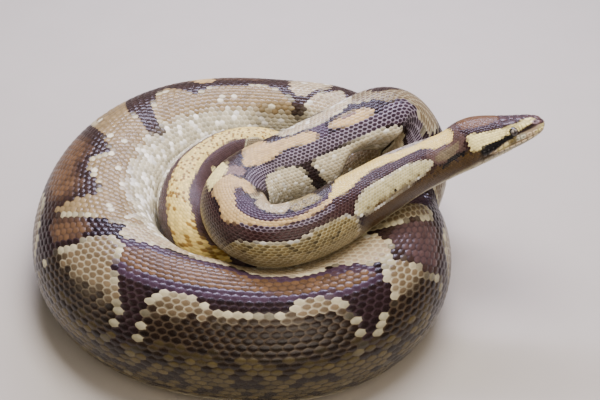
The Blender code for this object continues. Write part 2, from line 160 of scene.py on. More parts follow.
# The same course, girth and lean as the frame's solids have, so the skin lies in them.
COURSE = (
    Station("snout tip", 146.4, -25, 107.6, lean=17),
    Station("eyes", 125.4, -29, 101.8),
    Station("jaw corner", 103.8, -31.8, 96.2, lean=16),
    Station("nape", 90.6, -35, 91.6, 14.8, 12.6, 7),
    Station("neck over the coil", 68, -46, 88.2, 15.6, 14, -4.5),
    Station("neck", 47, -62, 86, 17, 16, -7),
    Station("neck lowers", 26, -80, 84),
    Station("neck on the front coil", 3, -95, 80, 19, 18, -8),
    Station("hairpin in", -19, -97, 77),
    Station("hairpin left", -33, -81, 74),
    Station("hairpin back", -39, -57, 71, 20.5, 19.5, 0),
    Station("hairpin out", -30, -36, 70),
    Station("top stretch", -9, -23, 72, 22, 21, 9),
    Station("top stretch rising", 16, -7, 74, 24, 22),
    Station("top stretch end", 41, 10, 75, 26, 24.5, 12),
    Station("shoulder of the drop", 59, 24, 69, 27, 26.5, 8),
    Station("drop", 67, 13, 54, 28.5, 27.5),
    Station("foot of the drop", 57, -10, 38, 32, 30),
    Station("outer coil right", 56, -48, 36.5, 36.5, 33.5, -24),
    Station("outer coil front right", 42, -99, 34.5, 39.5, 35),
    Station("outer coil front", 6, -126, 34, 40.5, 35.5, -14),
    Station("outer coil front left", -40, -128, 34, lean=-14),
    Station("outer coil left corner", -88, -110, 34, 41, 35.5),
    Station("outer coil left", -119, -70, 34),
    Station("outer coil back left", -127, -14, 34, 40, 35.5, -24),
    Station("outer coil back corner", -114, 36, 34),
    Station("outer coil back", -83, 70, 33.5, 39, 34.5, -22),
    Station("outer coil far back", -42, 83, 32),
    Station("outer coil far right", 0, 84, 30.5, 35, 31.5, -18),
    Station("turns inward", 27, 81, 28.5, 32, 29.5),
    Station("inner coil right", 43, 60, 26, 28.5, 27, -8),
    Station("inner coil under the top stretch", 33, 31, 24, 25.5, 24.5),
    Station("inner coil middle", 13, 3, 22.5, 23.5, 23, 0),
    Station("inner coil under the hairpin", -9, -31, 23, 22.5, 21.5),
    Station("inner coil lifts", -38, -51, 31),
    Station("hind body shows", -60, -54, 43, 19.5, 19),
    Station("hind body left", -72, -29, 48.5, 17.5, 17.5),
    Station("hind body back left", -65, 6, 49.5, 16, 16),
    Station("tail", -41, 32, 49, 13.5, 13),
    Station("tail thins", -13, 38, 45, 9.5, 9),
    Station("tail passes under", -1, 34, 40, 5.5, 5.2),
    Station("tail tip", 5, 29, 37, 1.6, 1.6, 0),
)

# The head: distance back from the snout, half width, crown above and throat below the lips.
HEAD = (
    (0.0, 0.0, 0.0, 0.0),
    (0.7, 3.6, 2.3, 2.1),
    (2.5, 6.3, 4.3, 3.8),
    (6.0, 8.6, 6.4, 5.4),
    (11.0, 10.2, 8.2, 6.8),
    (17.0, 11.6, 9.9, 7.9),
    (22.5, 13.0, 11.3, 8.8),
    (29.0, 15.6, 13.0, 9.8),
    (36.0, 18.0, 14.7, 10.8),
    (42.0, 19.2, 15.7, 11.6),
    (47.0, 19.0, 15.9, 12.0),
    (52.0, 17.6, 15.4, 12.2),
    (58.0, 15.8, 14.0, 12.4),
    (66.0, 15.2, 13.0, 12.8),
)
HEAD_LENGTH = 52.0
HEAD_BLEND = (54.0, 68.0)


def natural_spline(knots: Rows, values: Rows, at: Rows) -> Rows:
    """Smooth curve through points.

    Args:
        knots: where on the curve each point lies.
        values: the points, as rows.
        at: the places to read.

    Returns:
        A row for each place.
    """
    count, step = len(knots), np.diff(knots)
    matrix, right = np.eye(count), np.zeros_like(values)
    for i in range(1, count - 1):
        matrix[i, i - 1:i + 2] = (step[i - 1], 2 * (step[i - 1] + step[i]), step[i])
        right[i] = 6 * ((values[i + 1] - values[i]) / step[i] - (values[i] - values[i - 1]) / step[i - 1])
    bend = np.linalg.solve(matrix, right)
    i = np.clip(np.searchsorted(knots, at, side="right") - 1, 0, count - 2)
    lower = ((at - knots[i]) / step[i])[:, None]
    upper, reach = 1 - lower, (step[i] ** 2 / 6)[:, None]
    return (upper * values[i] + lower * values[i + 1]
            + reach * ((upper ** 3 - upper) * bend[i] + (lower ** 3 - lower) * bend[i + 1]))


def smooth_steps(knots: Sequence[float], values: Sequence[float], at: Rows) -> Rows:
    """Curve through values that never overshoots between two of them.

    Args:
        knots: where each value holds.
        values: the values.
        at: the places to read.

    Returns:
        The value at each place.
    """
    knots, values = np.asarray(knots, float), np.asarray(values, float)
    step = np.diff(knots)
    rise = np.diff(values) / step
    slope = np.zeros_like(values)
    slope[0], slope[-1] = rise[0], rise[-1]
    for i in range(1, len(knots) - 1):
        if rise[i - 1] * rise[i] > 0:
            a, b = 2 * step[i] + step[i - 1], step[i] + 2 * step[i - 1]
            slope[i] = (a + b) / (a / rise[i - 1] + b / rise[i])
    at = np.clip(np.asarray(at, float), knots[0], knots[-1])
    i = np.clip(np.searchsorted(knots, at, side="right") - 1, 0, len(knots) - 2)
    t, h = (at - knots[i]) / step[i], step[i]
    return ((2 * t ** 3 - 3 * t ** 2 + 1) * values[i] + (t ** 3 - 2 * t ** 2 + t) * h * slope[i]
            + (3 * t ** 2 - 2 * t ** 3) * values[i + 1] + (t ** 3 - t ** 2) * h * slope[i + 1])


def unit(rows: Rows) -> Rows:
    """Rows scaled to length one."""
    return rows / np.maximum(np.linalg.norm(rows, axis=-1, keepdims=True), 1e-12)


def ramp(value: Rows, low: float, high: float) -> Rows:
    """Zero below low, one above high and a smooth rise between, or a fall where low is above high."""
    t = np.clip((np.asarray(value, float) - low) / (high - low), 0, 1)
    return t * t * (3 - 2 * t)


def hill(distance: Rows, reach: float) -> Rows:
    """One at the middle, falling smoothly to nothing at its reach."""
    t = np.clip(np.abs(distance) / reach, 0, 1)
    return (1 - t * t) ** 2


def softened(grid: Rows, axis: int, reach: int, ends: str) -> Rows:
    """Widen the dips of a grid by reach and smooth them, so that it never rises.

    Args:
        grid: the values.
        axis: the direction to work along.
        reach: how many steps to widen.
        ends: how numpy pads the ends.

    Returns:
        The softened grid.
    """
    grid = np.moveaxis(grid, axis, 0)
    pad = [(reach, reach)] + [(0, 0)] * (grid.ndim - 1)
    count = len(grid)
    wide = np.pad(grid, pad, mode=ends)
    low = np.pad(np.min([wide[k:k + count] for k in range(2 * reach + 1)], axis=0), pad, mode=ends)
    weight = 1 + np.cos(np.linspace(-1, 1, 2 * reach + 3)[1:-1] * math.pi)
    smooth = sum(w * low[k:k + count] for k, w in enumerate(weight / weight.sum()))
    return np.moveaxis(smooth, 0, axis)


def rounded(line: Rows, corner: float) -> Rows:
    """A closed outline with its corners cut twice, each by that share of the sides beside it.

    Args:
        line: the corners in order, as rows.
        corner: the share of a side that each cut takes.

    Returns:
        The rounded outline.
    """
    for _ in range(2):
        after = np.roll(line, -1, axis=0)
        ends = [(1 - corner) * line + corner * after, corner * line + (1 - corner) * after]
        line = np.stack(ends, axis=1).reshape(-1, 2)
    return line


def sheet(rows: int, columns: int, closed: bool = True, first: int = 0) -> Rows:
    """Triangles over a grid of points that are numbered row by row.

    Args:
        rows: how many rows of points there are.
        columns: how many points a row has.
        closed: whether each row goes on from its last point to its first.
        first: the number of the grid's first point.

    Returns:
        Rows of three point numbers.
    """
    row, here = np.meshgrid(np.arange(rows - 1), np.arange(columns if closed else columns - 1), indexing="ij")
    left = (first + row * columns + here).ravel()
    right = (first + row * columns + (here + 1) % columns).ravel()
    return np.concatenate([np.stack([left, left + columns, right + columns], axis=1),
                           np.stack([left, right + columns, right], axis=1)])


def fan(tip: int, ring: Rows) -> Rows:
    """Triangles from one point to each step round a closed ring of points."""
    return np.stack([np.full(len(ring), tip), ring, np.roll(ring, -1)], axis=1)


def repeated(faces: Rows, each: int, count: int) -> Rows:
    """The faces of one part for all of its copies, each of which has so many points."""
    return (faces[None, :, :] + (np.arange(count) * each)[:, None, None]).reshape(-1, 3)


def outward(points: Rows, faces: Rows) -> Rows:
    """The faces of a closed shape, turned over if they look inward.

    Args:
        points: the points, as rows.
        faces: rows of three point numbers.

    Returns:
        The faces, looking outward.
    """
    a, b, c = (points[faces[:, k]] for k in range(3))
    volume = np.einsum("ij,ij->", a, np.cross(b, c))
    return faces if volume > 0 else faces[:, ::-1]


@dataclass
class Body:
    """The spine, its cross sections and girth, and where lengths of it press together."""

    fine_step: float = 2.0       # spacing of the spine samples
    skin_gap: float = 1.2        # air between two lengths that press together
    near_body: float = 2.3       # neighbours closer than this many half widths are the same bend
    near_least: float = 45.0     # and never less than this
    fold_limit: float = 0.90     # how near the inside of a bend may come to folding
    press_sectors: int = 80      # the pressed faces are worked out at this many angles
    soft_rows: int = 4           # how far the rim of a pressed face is rounded along the body
    soft_sectors: int = 2        # and round it
    turn_window: float = 30.0    # length over which the cross sections share out a sharp turn
    loaf: float = 2.2            # how square the lower half of a cross section is
    press_margin: float = 6.0    # lengths whose surfaces are farther apart than this can't meet
    press_least: float = 0.30    # the share of its radius that a pressed point keeps at least
    press_halvings: int = 14
    fold_least: float = 0.2
    fold_free: float = 9.0       # a share so large that it stands for no limit
    length: float = field(init=False)
    stops: Rows = field(init=False)

    def __post_init__(self) -> None:
        """Lay the spine, set its sections and press the lengths together."""
        points = np.array([(stop.x, stop.y, stop.z) for stop in COURSE], float) - (*MIDDLE, 0.0)
        chord = np.concatenate([[0], np.cumsum(np.linalg.norm(np.diff(points, axis=0), axis=1))])
        dense = np.linspace(0, chord[-1], 6000)
        line = natural_spline(chord, points, dense)
        run = np.concatenate([[0], np.cumsum(np.linalg.norm(np.diff(line, axis=0), axis=1))])
        self.length = float(run[-1])
        self.s = np.linspace(0, self.length, int(round(self.length / self.fine_step)) + 1)
        self.centre = np.stack([np.interp(self.s, run, line[:, k]) for k in range(3)], axis=1)
        self.stops = np.interp(chord, dense, run)
        self.forward = self.shared_turn(unit(np.gradient(self.centre, axis=0)))
        level = unit(np.cross(self.forward, np.array([0.0, 0.0, 1.0])))
        self.wide, self.tall, self.deep = self.girth()
        turn = np.radians(self.setting("lean"))[:, None]
        self.up = np.cos(turn) * np.cross(level, self.forward) + np.sin(turn) * level
        self.side = np.cross(self.forward, self.up)
        self.share = self.press()

    def setting(self, size: str) -> Rows:
        """One size of the course at every spine sample, from the stations that set it.

        Args:
            size: the name of a field of Station.

        Returns:
            The value at each sample.
        """
        found = [(stop, getattr(station, size)) for stop, station in zip(self.stops, COURSE)]
        stops, values = zip(*((stop, value) for stop, value in found if value is not None))
        return smooth_steps(stops, values, self.s)

    def girth(self) -> list[Rows]:
        """Half width, height above the spine and depth below it at every spine sample.

        Returns:
            The three rows of values.
        """
        wide, tall = self.setting("wide"), self.setting("tall")
        back, *sizes = zip(*HEAD)
        head = [smooth_steps(back, size, self.s) for size in sizes]
        mix = ramp(self.s, *HEAD_BLEND)
        return [one * (1 - mix) + other * mix for one, other in zip(head, (wide, tall, tall))]

    def shared_turn(self, forward: Rows) -> Rows:
        """Section directions that spread a sharp turn over the turn window.

        Args:
            forward: the directions of the spine itself.

        Returns:
            The directions of the sections.
        """
        reach = int(round(self.turn_window / self.fine_step))
        weight = np.cos(np.linspace(-1, 1, 2 * reach + 1) * math.pi / 2) ** 2
        padded = np.concatenate([np.repeat(forward[:1], reach, axis=0), forward,
                                 np.repeat(forward[-1:], reach, axis=0)])
        return unit(np.stack([np.convolve(padded[:, k], weight, mode="valid") for k in range(3)], axis=1))

    def at(self, distance: Rows) -> tuple[Rows, ...]:
        """Read the spine.

        Args:
            distance: distances from the snout.

        Returns:
            Centre, forward, side and up as rows, then half width, height and depth.
        """
        distance = np.atleast_1d(np.asarray(distance, float))

        def read(rows: Rows) -> Rows:
            """The rows at the distances."""
            return np.stack([np.interp(distance, self.s, rows[:, k]) for k in range(3)], axis=1)

        forward = unit(read(self.forward))
        side = unit(np.cross(forward, read(self.up)))
        sizes = [np.interp(distance, self.s, size) for size in (self.wide, self.tall, self.deep)]
        return (read(self.centre), forward, side, np.cross(side, forward), *sizes)

    def radius(self, distance: Rows, angles: Rows) -> tuple[Rows, Rows, Rows]:
        """Unpressed radii.

        Args:
            distance: distances from the snout.
            angles: angles round from the ridge of the back, in radians.

        Returns:
            The centres, a row of radii for each distance, and the half widths.
        """
        centre, _forward, side, up, wide, tall, deep = self.at(distance)
        across, high = np.sin(angles), np.cos(angles)
        power = np.where(high < 0, 2 / self.loaf, 1.0)
        across, high = (np.sign(across) * np.abs(across) ** power, np.sign(high) * np.abs(high) ** power)
        half = np.where(high[None, :] > 0, tall[:, None], deep[:, None])
        radius = ((wide[:, None] * across[None, :])[:, :, None] * side[:, None, :]
                  + (half * high[None, :])[:, :, None] * up[:, None, :])
        return centre, radius, wide

    def press(self) -> Rows:
        """Work out how much of its radius each part of the skin keeps.

        Returns:
            A row of shares for each spine sample.
        """
        angles = np.arange(self.press_sectors) * 2 * math.pi / self.press_sectors
        centre, radius, wide = self.radius(self.s, angles)
        share = np.minimum(self.free_share(centre, radius, wide), self.fold_share(centre, radius, wide))
        for axis, reach, ends in ((0, self.soft_rows, "edge"), (1, self.soft_sectors, "wrap")):
            share = softened(share, axis, reach, ends)
        return np.concatenate([share, share[:, :1]], axis=1)

    def free_share(self, centre: Rows, radius: Rows, wide: Rows) -> Rows:
        """How much of its radius each skin point keeps before it meets another length.

        Args:
            centre: the centres of the spine samples.
            radius: their unpressed radii.
            wide: their half widths.

        Returns:
            A row of shares for each sample.
        """
        share = np.ones(radius.shape[:2])
        for i, here in enumerate(self.s):
            apart = np.abs(self.s - here) > max(self.near_body * wide[i], self.near_least)
            close = np.linalg.norm(self.centre - centre[i], axis=1) < wide[i] + self.wide + self.press_margin
            other = np.nonzero(apart & close)[0][::2]
            if len(other) == 0:
                continue
            low, high = np.full(radius.shape[1], self.press_least), np.ones(radius.shape[1])
            pressed = self.clearance(centre[i] + radius[i] * high[:, None], other, high) < 0
            for _ in range(self.press_halvings):
                middle = np.where(pressed, (low + high) / 2, 1.0)
                clear = self.clearance(centre[i] + radius[i] * middle[:, None], other, middle)
                high = np.where(pressed & (clear < 0), middle, high)
                low = np.where(pressed & (clear >= 0), middle, low)
            share[i] = np.where(pressed, low, 1.0)
        return share

    def fold_share(self, centre: Rows, radius: Rows, wide: Rows) -> Rows:
        """How much of its radius each point keeps before the inside of a bend would fold.

        Args:
            centre: the centres of the spine samples.
            radius: their unpressed radii.
            wide: their half widths.

        Returns:
            A row of shares for each sample.
        """
        share = np.ones(radius.shape[:2])
        for i, here in enumerate(self.s):
            ahead = self.s - here
            bend = (np.abs(ahead) > self.fine_step) & (np.abs(ahead) < self.near_body * wide[i])
            near = np.nonzero(bend)[0]
            way = np.sign(ahead[near])
            room = way * np.einsum("ok,ok->o", self.centre[near] - centre[i], self.forward[near])
            lean = way * (radius[i] @ self.forward[near].T)
            limit = np.where(lean > 1e-6, room / np.maximum(lean, 1e-6), self.fold_free)
            share[i] = np.clip(self.fold_limit * limit.min(axis=1, initial=self.fold_free),
                               self.fold_least, 1.0)
        return share

    def clearance(self, points: Rows, other: Rows, share: Rows) -> Rows:
        """Room between points and the other lengths of body, as a share of their girth.

        Args:
            points: the points.
            other: numbers of the spine samples of the other lengths.
            share: the share of its radius that each point keeps.

        Returns:
            The room for each point, minus where it is inside.
        """
        offset = points[:, None, :] - self.centre[other][None, :, :]
        across = np.einsum("pok,ok->po", offset, self.side[other]) / self.wide[other]
        high = np.einsum("pok,ok->po", offset, self.up[other]) / self.tall[other]
        along = np.einsum("pok,ok->po", offset, self.forward[other]) / self.tall[other]
        reach = np.sqrt(across ** 2 + high ** 2 + along ** 2)
        return np.min(reach - (self.skin_gap / self.tall[other])[None, :], axis=1) - share

    def outside(self, distance: Rows, angles: Rows) -> Rows:
        """Points of the pressed outside, a row of angles for each distance.

        Args:
            distance: distances from the snout.
            angles: angles from the ridge of the back, in radians.

        Returns:
            The points.
        """
        centre, radius, _wide = self.radius(distance, angles)
        row = np.clip(distance / self.length * (len(self.s) - 1), 0, len(self.s) - 1.001)
        column = angles / (2 * math.pi) % 1 * self.press_sectors
        i, j = row.astype(int), column.astype(int)
        u, v = (row - i)[:, None], (column - j)[None, :]
        share = ((1 - u) * ((1 - v) * self.share[np.ix_(i, j)] + v * self.share[np.ix_(i, j + 1)])
                 + u * ((1 - v) * self.share[np.ix_(i + 1, j)] + v * self.share[np.ix_(i + 1, j + 1)]))
        drop = np.minimum(radius[:, :, 2], -1e-6)
        share = np.minimum(share, centre[:, None, 2] / -drop)
        return centre[:, None, :] + radius * share[:, :, None]


@dataclass(frozen=True)
class Swell:
    """A soft swelling on the side of the head, or a hollow where its amount is minus."""

    name: str
    amount: float                # how far it stands out
    back: float                  # its middle, from the snout
    length: float                # its reach along the head
    share: float                 # height of its middle, as a share of the crown's
    rise: float                  # and over that, in millimetres
    height: float                # its reach up and down


SWELLS = (
    Swell("brow", 1.0, 21.5, 8, 0.74, 0, 3.0),
    Swell("edge from the eye to the nostril", 0.75, 13, 9, 0.70, 0, 2.4),
    Swell("hollow before the eye", -0.5, 14, 9, 0, 2.4, 3.0),
    Swell("muscle behind the jaw corner", 0.7, 40, 12, 0, 1.0, 8),
)


@dataclass
class Hide:
    """The outside of the animal as a fine grid that anything can be laid on.

    A place on it is a distance from the snout in millimetres and an angle in degrees, zero
    along the ridge of the back and plus toward the body's side.
    """

    body: Body
    step: float = 0.75           # spacing of the grid along the body
    sectors: int = 144           # places of the grid round the body
    nostril_back: float = 6.2
    nostril_height: float = 4.7
    nostril_depth: float = 1.3
    nostril_reach: float = 1.35
    lip_height: float = -2.3     # the line of the mouth, against the middle of the head
    lip_groove: float = 0.55     # its depth
    lip_reach: float = 0.9       # and its half width
    mouth_end: tuple[float, float] = (46.0, 41.0)
    eye_back: float = 21.5
    eye_height: float = 4.1
    eye_inset: float = 2.70
    coat_trunk: float = 0.9      # depth of the scales on the trunk
    coat_head: float = 0.42      # and on the head
    coat_least: float = 0.34     # and where the body is thin
    coat_girth: float = 34.0     # the half width from which the trunk's depth is full
    coat_change: tuple[float, float] = (40.0, 80.0)

    def __post_init__(self) -> None:
        """Read the body on the grid, raise the head's relief and find the outward directions."""
        count = int(self.body.length / self.step) + 1
        self.rows = np.linspace(0.15, self.body.length - 0.15, count)
        angles = np.arange(self.sectors) * 2 * math.pi / self.sectors
        points = self.body.outside(self.rows, angles)
        points = self.head_relief(points)
        along = np.gradient(points, axis=0)
        around = np.roll(points, -1, axis=1) - np.roll(points, 1, axis=1)
        centre = self.body.at(self.rows)[0]
        normal = unit(np.cross(along, around))
        normal *= np.sign(np.sum(normal * (points - centre[:, None, :]), axis=2, keepdims=True))
        self.points = np.concatenate([points, points[:, :1]], axis=1)
        self.normals = np.concatenate([normal, normal[:, :1]], axis=1)

    def head_relief(self, points: Rows) -> Rows:
        """Raise brows, cheeks and lips, and sink the nostrils, on the first stretch.

        Args:
            points: the grid of the outside, which is changed in place.

        Returns:
            The same grid.
        """
        near = self.rows < HEAD_LENGTH + 12
        back = self.rows[near]
        centre, _forward, side, up, wide, tall, _deep = self.body.at(back)
        offset = points[near] - centre[:, None, :]
        across = np.einsum("ijk,ik->ij", offset, side)
        high = np.einsum("ijk,ik->ij", offset, up)
        out = np.clip(np.abs(across) / wide[:, None], 0, 1)
        back, tall = back[:, None], tall[:, None]
        push = sum(swell.amount * hill(back - swell.back, swell.length)
                   * hill(high - swell.share * tall - swell.rise, swell.height) for swell in SWELLS)
        push -= self.lip_groove * hill(high - self.lip_height, self.lip_reach) * ramp(back, *self.mouth_end)
        nostril = np.hypot(back - self.nostril_back, high - self.nostril_height)
        push -= self.nostril_depth * hill(nostril, self.nostril_reach)
        push *= out
        points[near] += (push * np.sign(across))[:, :, None] * side[:, None, :]
        return points

    def coat_depth(self, back: Rows) -> Rows:
        """Depth of the scales at distances from the snout.

        Args:
            back: the distances.

        Returns:
            The depths.
        """
        girth = np.interp(back, self.body.s, self.body.wide)
        trunk = np.clip(self.coat_trunk * girth / self.coat_girth, self.coat_least, self.coat_trunk)
        mix = ramp(back, *self.coat_change)
        return self.coat_head * (1 - mix) + trunk * mix

    def girth(self, back: Rows) -> Rows:
        """Mean radius at distances from the snout.

        Args:
            back: the distances.

        Returns:
            The radii.
        """
        wide = np.interp(back, self.body.s, self.body.wide)
        tall = np.interp(back, self.body.s, self.body.tall)
        return np.sqrt(np.maximum(wide * tall, 0.2))

    def spot(self, back: Rows, turn: Rows, lift: Rows) -> Rows:
        """Points over the skin.

        Args:
            back: distances from the snout.
            turn: angles from the ridge of the back, in degrees.
            lift: height over the skin, in millimetres; the skin lies below the outside by
                the depth of the scales.

        Returns:
            A row for each place.
        """
        row = np.clip((back - self.rows[0]) / (self.rows[-1] - self.rows[0]), 0, 1) * (len(self.rows) - 1.001)
        column = (np.asarray(turn) / 360.0 % 1.0) * self.sectors
        i, j = row.astype(int), np.minimum(column.astype(int), self.sectors - 1)
        u, v = (row - i)[..., None], (column - j)[..., None]

        def read(grid: Rows) -> Rows:
            """The grid at the places."""
            return ((1 - u) * ((1 - v) * grid[i, j] + v * grid[i, j + 1])
                    + u * ((1 - v) * grid[i + 1, j] + v * grid[i + 1, j + 1]))

        height = np.asarray(lift) - self.coat_depth(back)
        return read(self.points) + unit(read(self.normals)) * height[..., None]


# ---------------------------------------------------------------- the markings

OUTLINE_CORNER = 0.22


@dataclass(frozen=True)
class Mark:
    """One closed patch of the pattern on the unrolled body.

    outline holds the few points its shape needs, as distance from the snout and angle; edge
    is the width of its border.  Below the angles in fade it turns into lower.
    """

    name: str
    pigment: Pigment
    outline: tuple[tuple[float, float], ...]
    edge: float = 0.0
    border: Pigment = Pigment.EDGE
    lower: Optional[Pigment] = None
    fade: tuple[float, float] = (0.0, 0.0)

    def inside(self, back: Rows, turn: Rows, millimetres: float) -> Rows:
        """Distance inside the outline.

        Args:
            back: distances from the snout.
            turn: angles in degrees.
            millimetres: how long a degree is on the body here.

        Returns:
            Millimetres, plus inside and minus outside.
        """
        line = rounded(np.array(self.outline, float), OUTLINE_CORNER) * (1.0, millimetres)
        spot = np.stack([back, turn * millimetres], axis=1)
        after = np.roll(line, -1, axis=0)
        run = after - line
        best, crossings = np.full(len(spot), 1e9), np.zeros(len(spot), int)
        for start, end, way in zip(line, after, run):
            t = np.clip((spot - start) @ way / max(way @ way, 1e-9), 0, 1)
            best = np.minimum(best, np.sum((spot - start - t[:, None] * way) ** 2, axis=1))
            above = (start[1] > spot[:, 1]) != (end[1] > spot[:, 1])
            meet = start[0] + (spot[:, 1] - start[1]) * way[0] / (way[1] if way[1] else 1e-9)
            crossings += above & (spot[:, 0] < meet)
        return np.sqrt(best) * np.where(crossings % 2 == 1, 1.0, -1.0)


ARCH_FOOT = 118.0                # the angle where the flank patches of the usual kind end


def arch(name: str, middle: float, half: float, top: float, side: int, lobe: float = 0.30) -> Mark:
    """A flank patch of the usual kind: a rounded arch that opens toward the belly.

    Args:
        name: what it is called.
        middle: its distance from the snout.
        half: half its length.
        top: the angle its top reaches.
        side: which flank, plus or minus one.
        lobe: how much one shoulder is lower than the other.

    Returns:
        The mark.
    """
    fall = ARCH_FOOT - top
    outline = ((-1.00, 0.55), (-0.82, 0.20), (-0.45, 0.03), (-0.05, 0.10), (0.30, 0.02), (0.72, lobe * 0.6),
               (0.98, 0.50), (0.90, 0.85), (0.95, 1.0), (-0.92, 1.0), (-0.90, 0.8))
    return Mark(name, Pigment.TAN, tuple((middle + half * x, side * (top + fall * y)) for x, y in outline),
                edge=2.2, lower=Pigment.PALE, fade=(top + 26, ARCH_FOOT - 12))


def both_sides(mark: Mark) -> tuple[Mark, Mark]:
    """A mark and the same mark across the back.

    Args:
        mark: the mark on one side.

    Returns:
        Both marks.
    """
    mirrored = tuple((back, -turn) for back, turn in mark.outline)
    return mark, replace(mark, name=mark.name + " other side", outline=mirrored)


# Snout and crown.
CROWN_MARKS = (
    Mark("snout", Pigment.SNOUT, ((-3, -200), (10, -200), (10, 200), (-3, 200))),
    Mark("crown edge", Pigment.CROWN_EDGE, ((9, 20), (12, 26), (16, 35), (21, 43), (28, 47), (36, 48),
        (44, 42), (50, 33), (51.5, 26), (51.5, -26), (50, -33), (44, -42), (36, -48), (28, -47), (21, -43),
        (16, -35), (12, -26), (9, -20), (8, 0))),
    Mark("crown front", Pigment.CROWN_FRONT, ((8, 17), (14, 24), (19, 34), (24, 38), (30, 37), (30, -37),
        (24, -38), (19, -34), (14, -24), (8, -17))),
    Mark("crown", Pigment.CROWN, ((26, 10), (30, 23), (36, 32), (43, 29), (48, 26), (50.5, 14), (50.5, -14),
        (48, -26), (43, -29), (36, -32), (30, -23), (26, -10))),
)

# Cheek stripe, eye stripe and lips, on one side of the head.
CHEEK_MARKS = (
    Mark("lips", Pigment.LIP, ((1, -66), (5, -62), (8, -72), (14, -77), (20, -80), (34, -84), (40, -96),
        (36, -108), (20, -116), (4, -124), (0, -90))),
    Mark("lip edge", Pigment.CREAM, ((0.8, -64), (3.6, -64), (5.4, -78), (8.5, -92), (9, -101), (4, -104),
        (1, -96))),
    Mark("cheek stripe", Pigment.CREAM, ((5.6, -22), (9, -20), (12, -24), (15, -32), (18, -39), (22, -42),
        (26, -46), (30, -49), (36, -50), (41, -47), (45, -43), (48.6, -41), (49.6, -52), (50, -66),
        (49.6, -75), (46, -79), (43, -79), (40, -76), (35, -75), (30, -74), (26, -71), (20, -68),
        (17.5, -67), (14, -61), (10.5, -53), (8.5, -46), (6, -36))),
    Mark("ring of the nostril", Pigment.NOSE_RING, ((4.4, -34), (6.4, -33), (8.6, -38), (9, -48),
        (7.6, -56), (5.2, -56), (4.2, -46))),
    # The nostril is painted black: painted shade in its hollow.
    Mark("nostril", Pigment.BLACK, ((5.6, -42), (7.2, -41), (7.8, -47), (6.2, -48))),
    Mark("line before the eye", Pigment.CROWN_EDGE, ((7.6, -56), (10, -51), (13, -58), (16.5, -65),
        (20, -71), (20, -77), (17, -77), (13.5, -71), (10.5, -65), (8, -63))),
    Mark("behind the eye", Pigment.OLIVE, ((20, -80), (24, -80), (26, -88), (25.5, -104), (22, -108),
        (20.5, -96))),
    Mark("patch under the eye", Pigment.LIP_PALE, ((15, -80), (20, -78), (21, -96), (20, -103), (16, -101),
        (14.5, -90))),
    Mark("eye stripe", Pigment.BLACK, ((22, -73), (26, -69), (30, -73), (34, -75.5), (38, -73), (41.5, -75),
        (44.4, -80), (44.2, -92), (42, -99), (38, -98), (34, -95), (30, -90), (26, -86), (22, -84))),
    Mark("patch under the eye stripe", Pigment.CREAM, ((25.6, -88), (29, -91), (33, -96), (35, -101),
        (33, -105), (28, -106), (25.4, -104))),
)

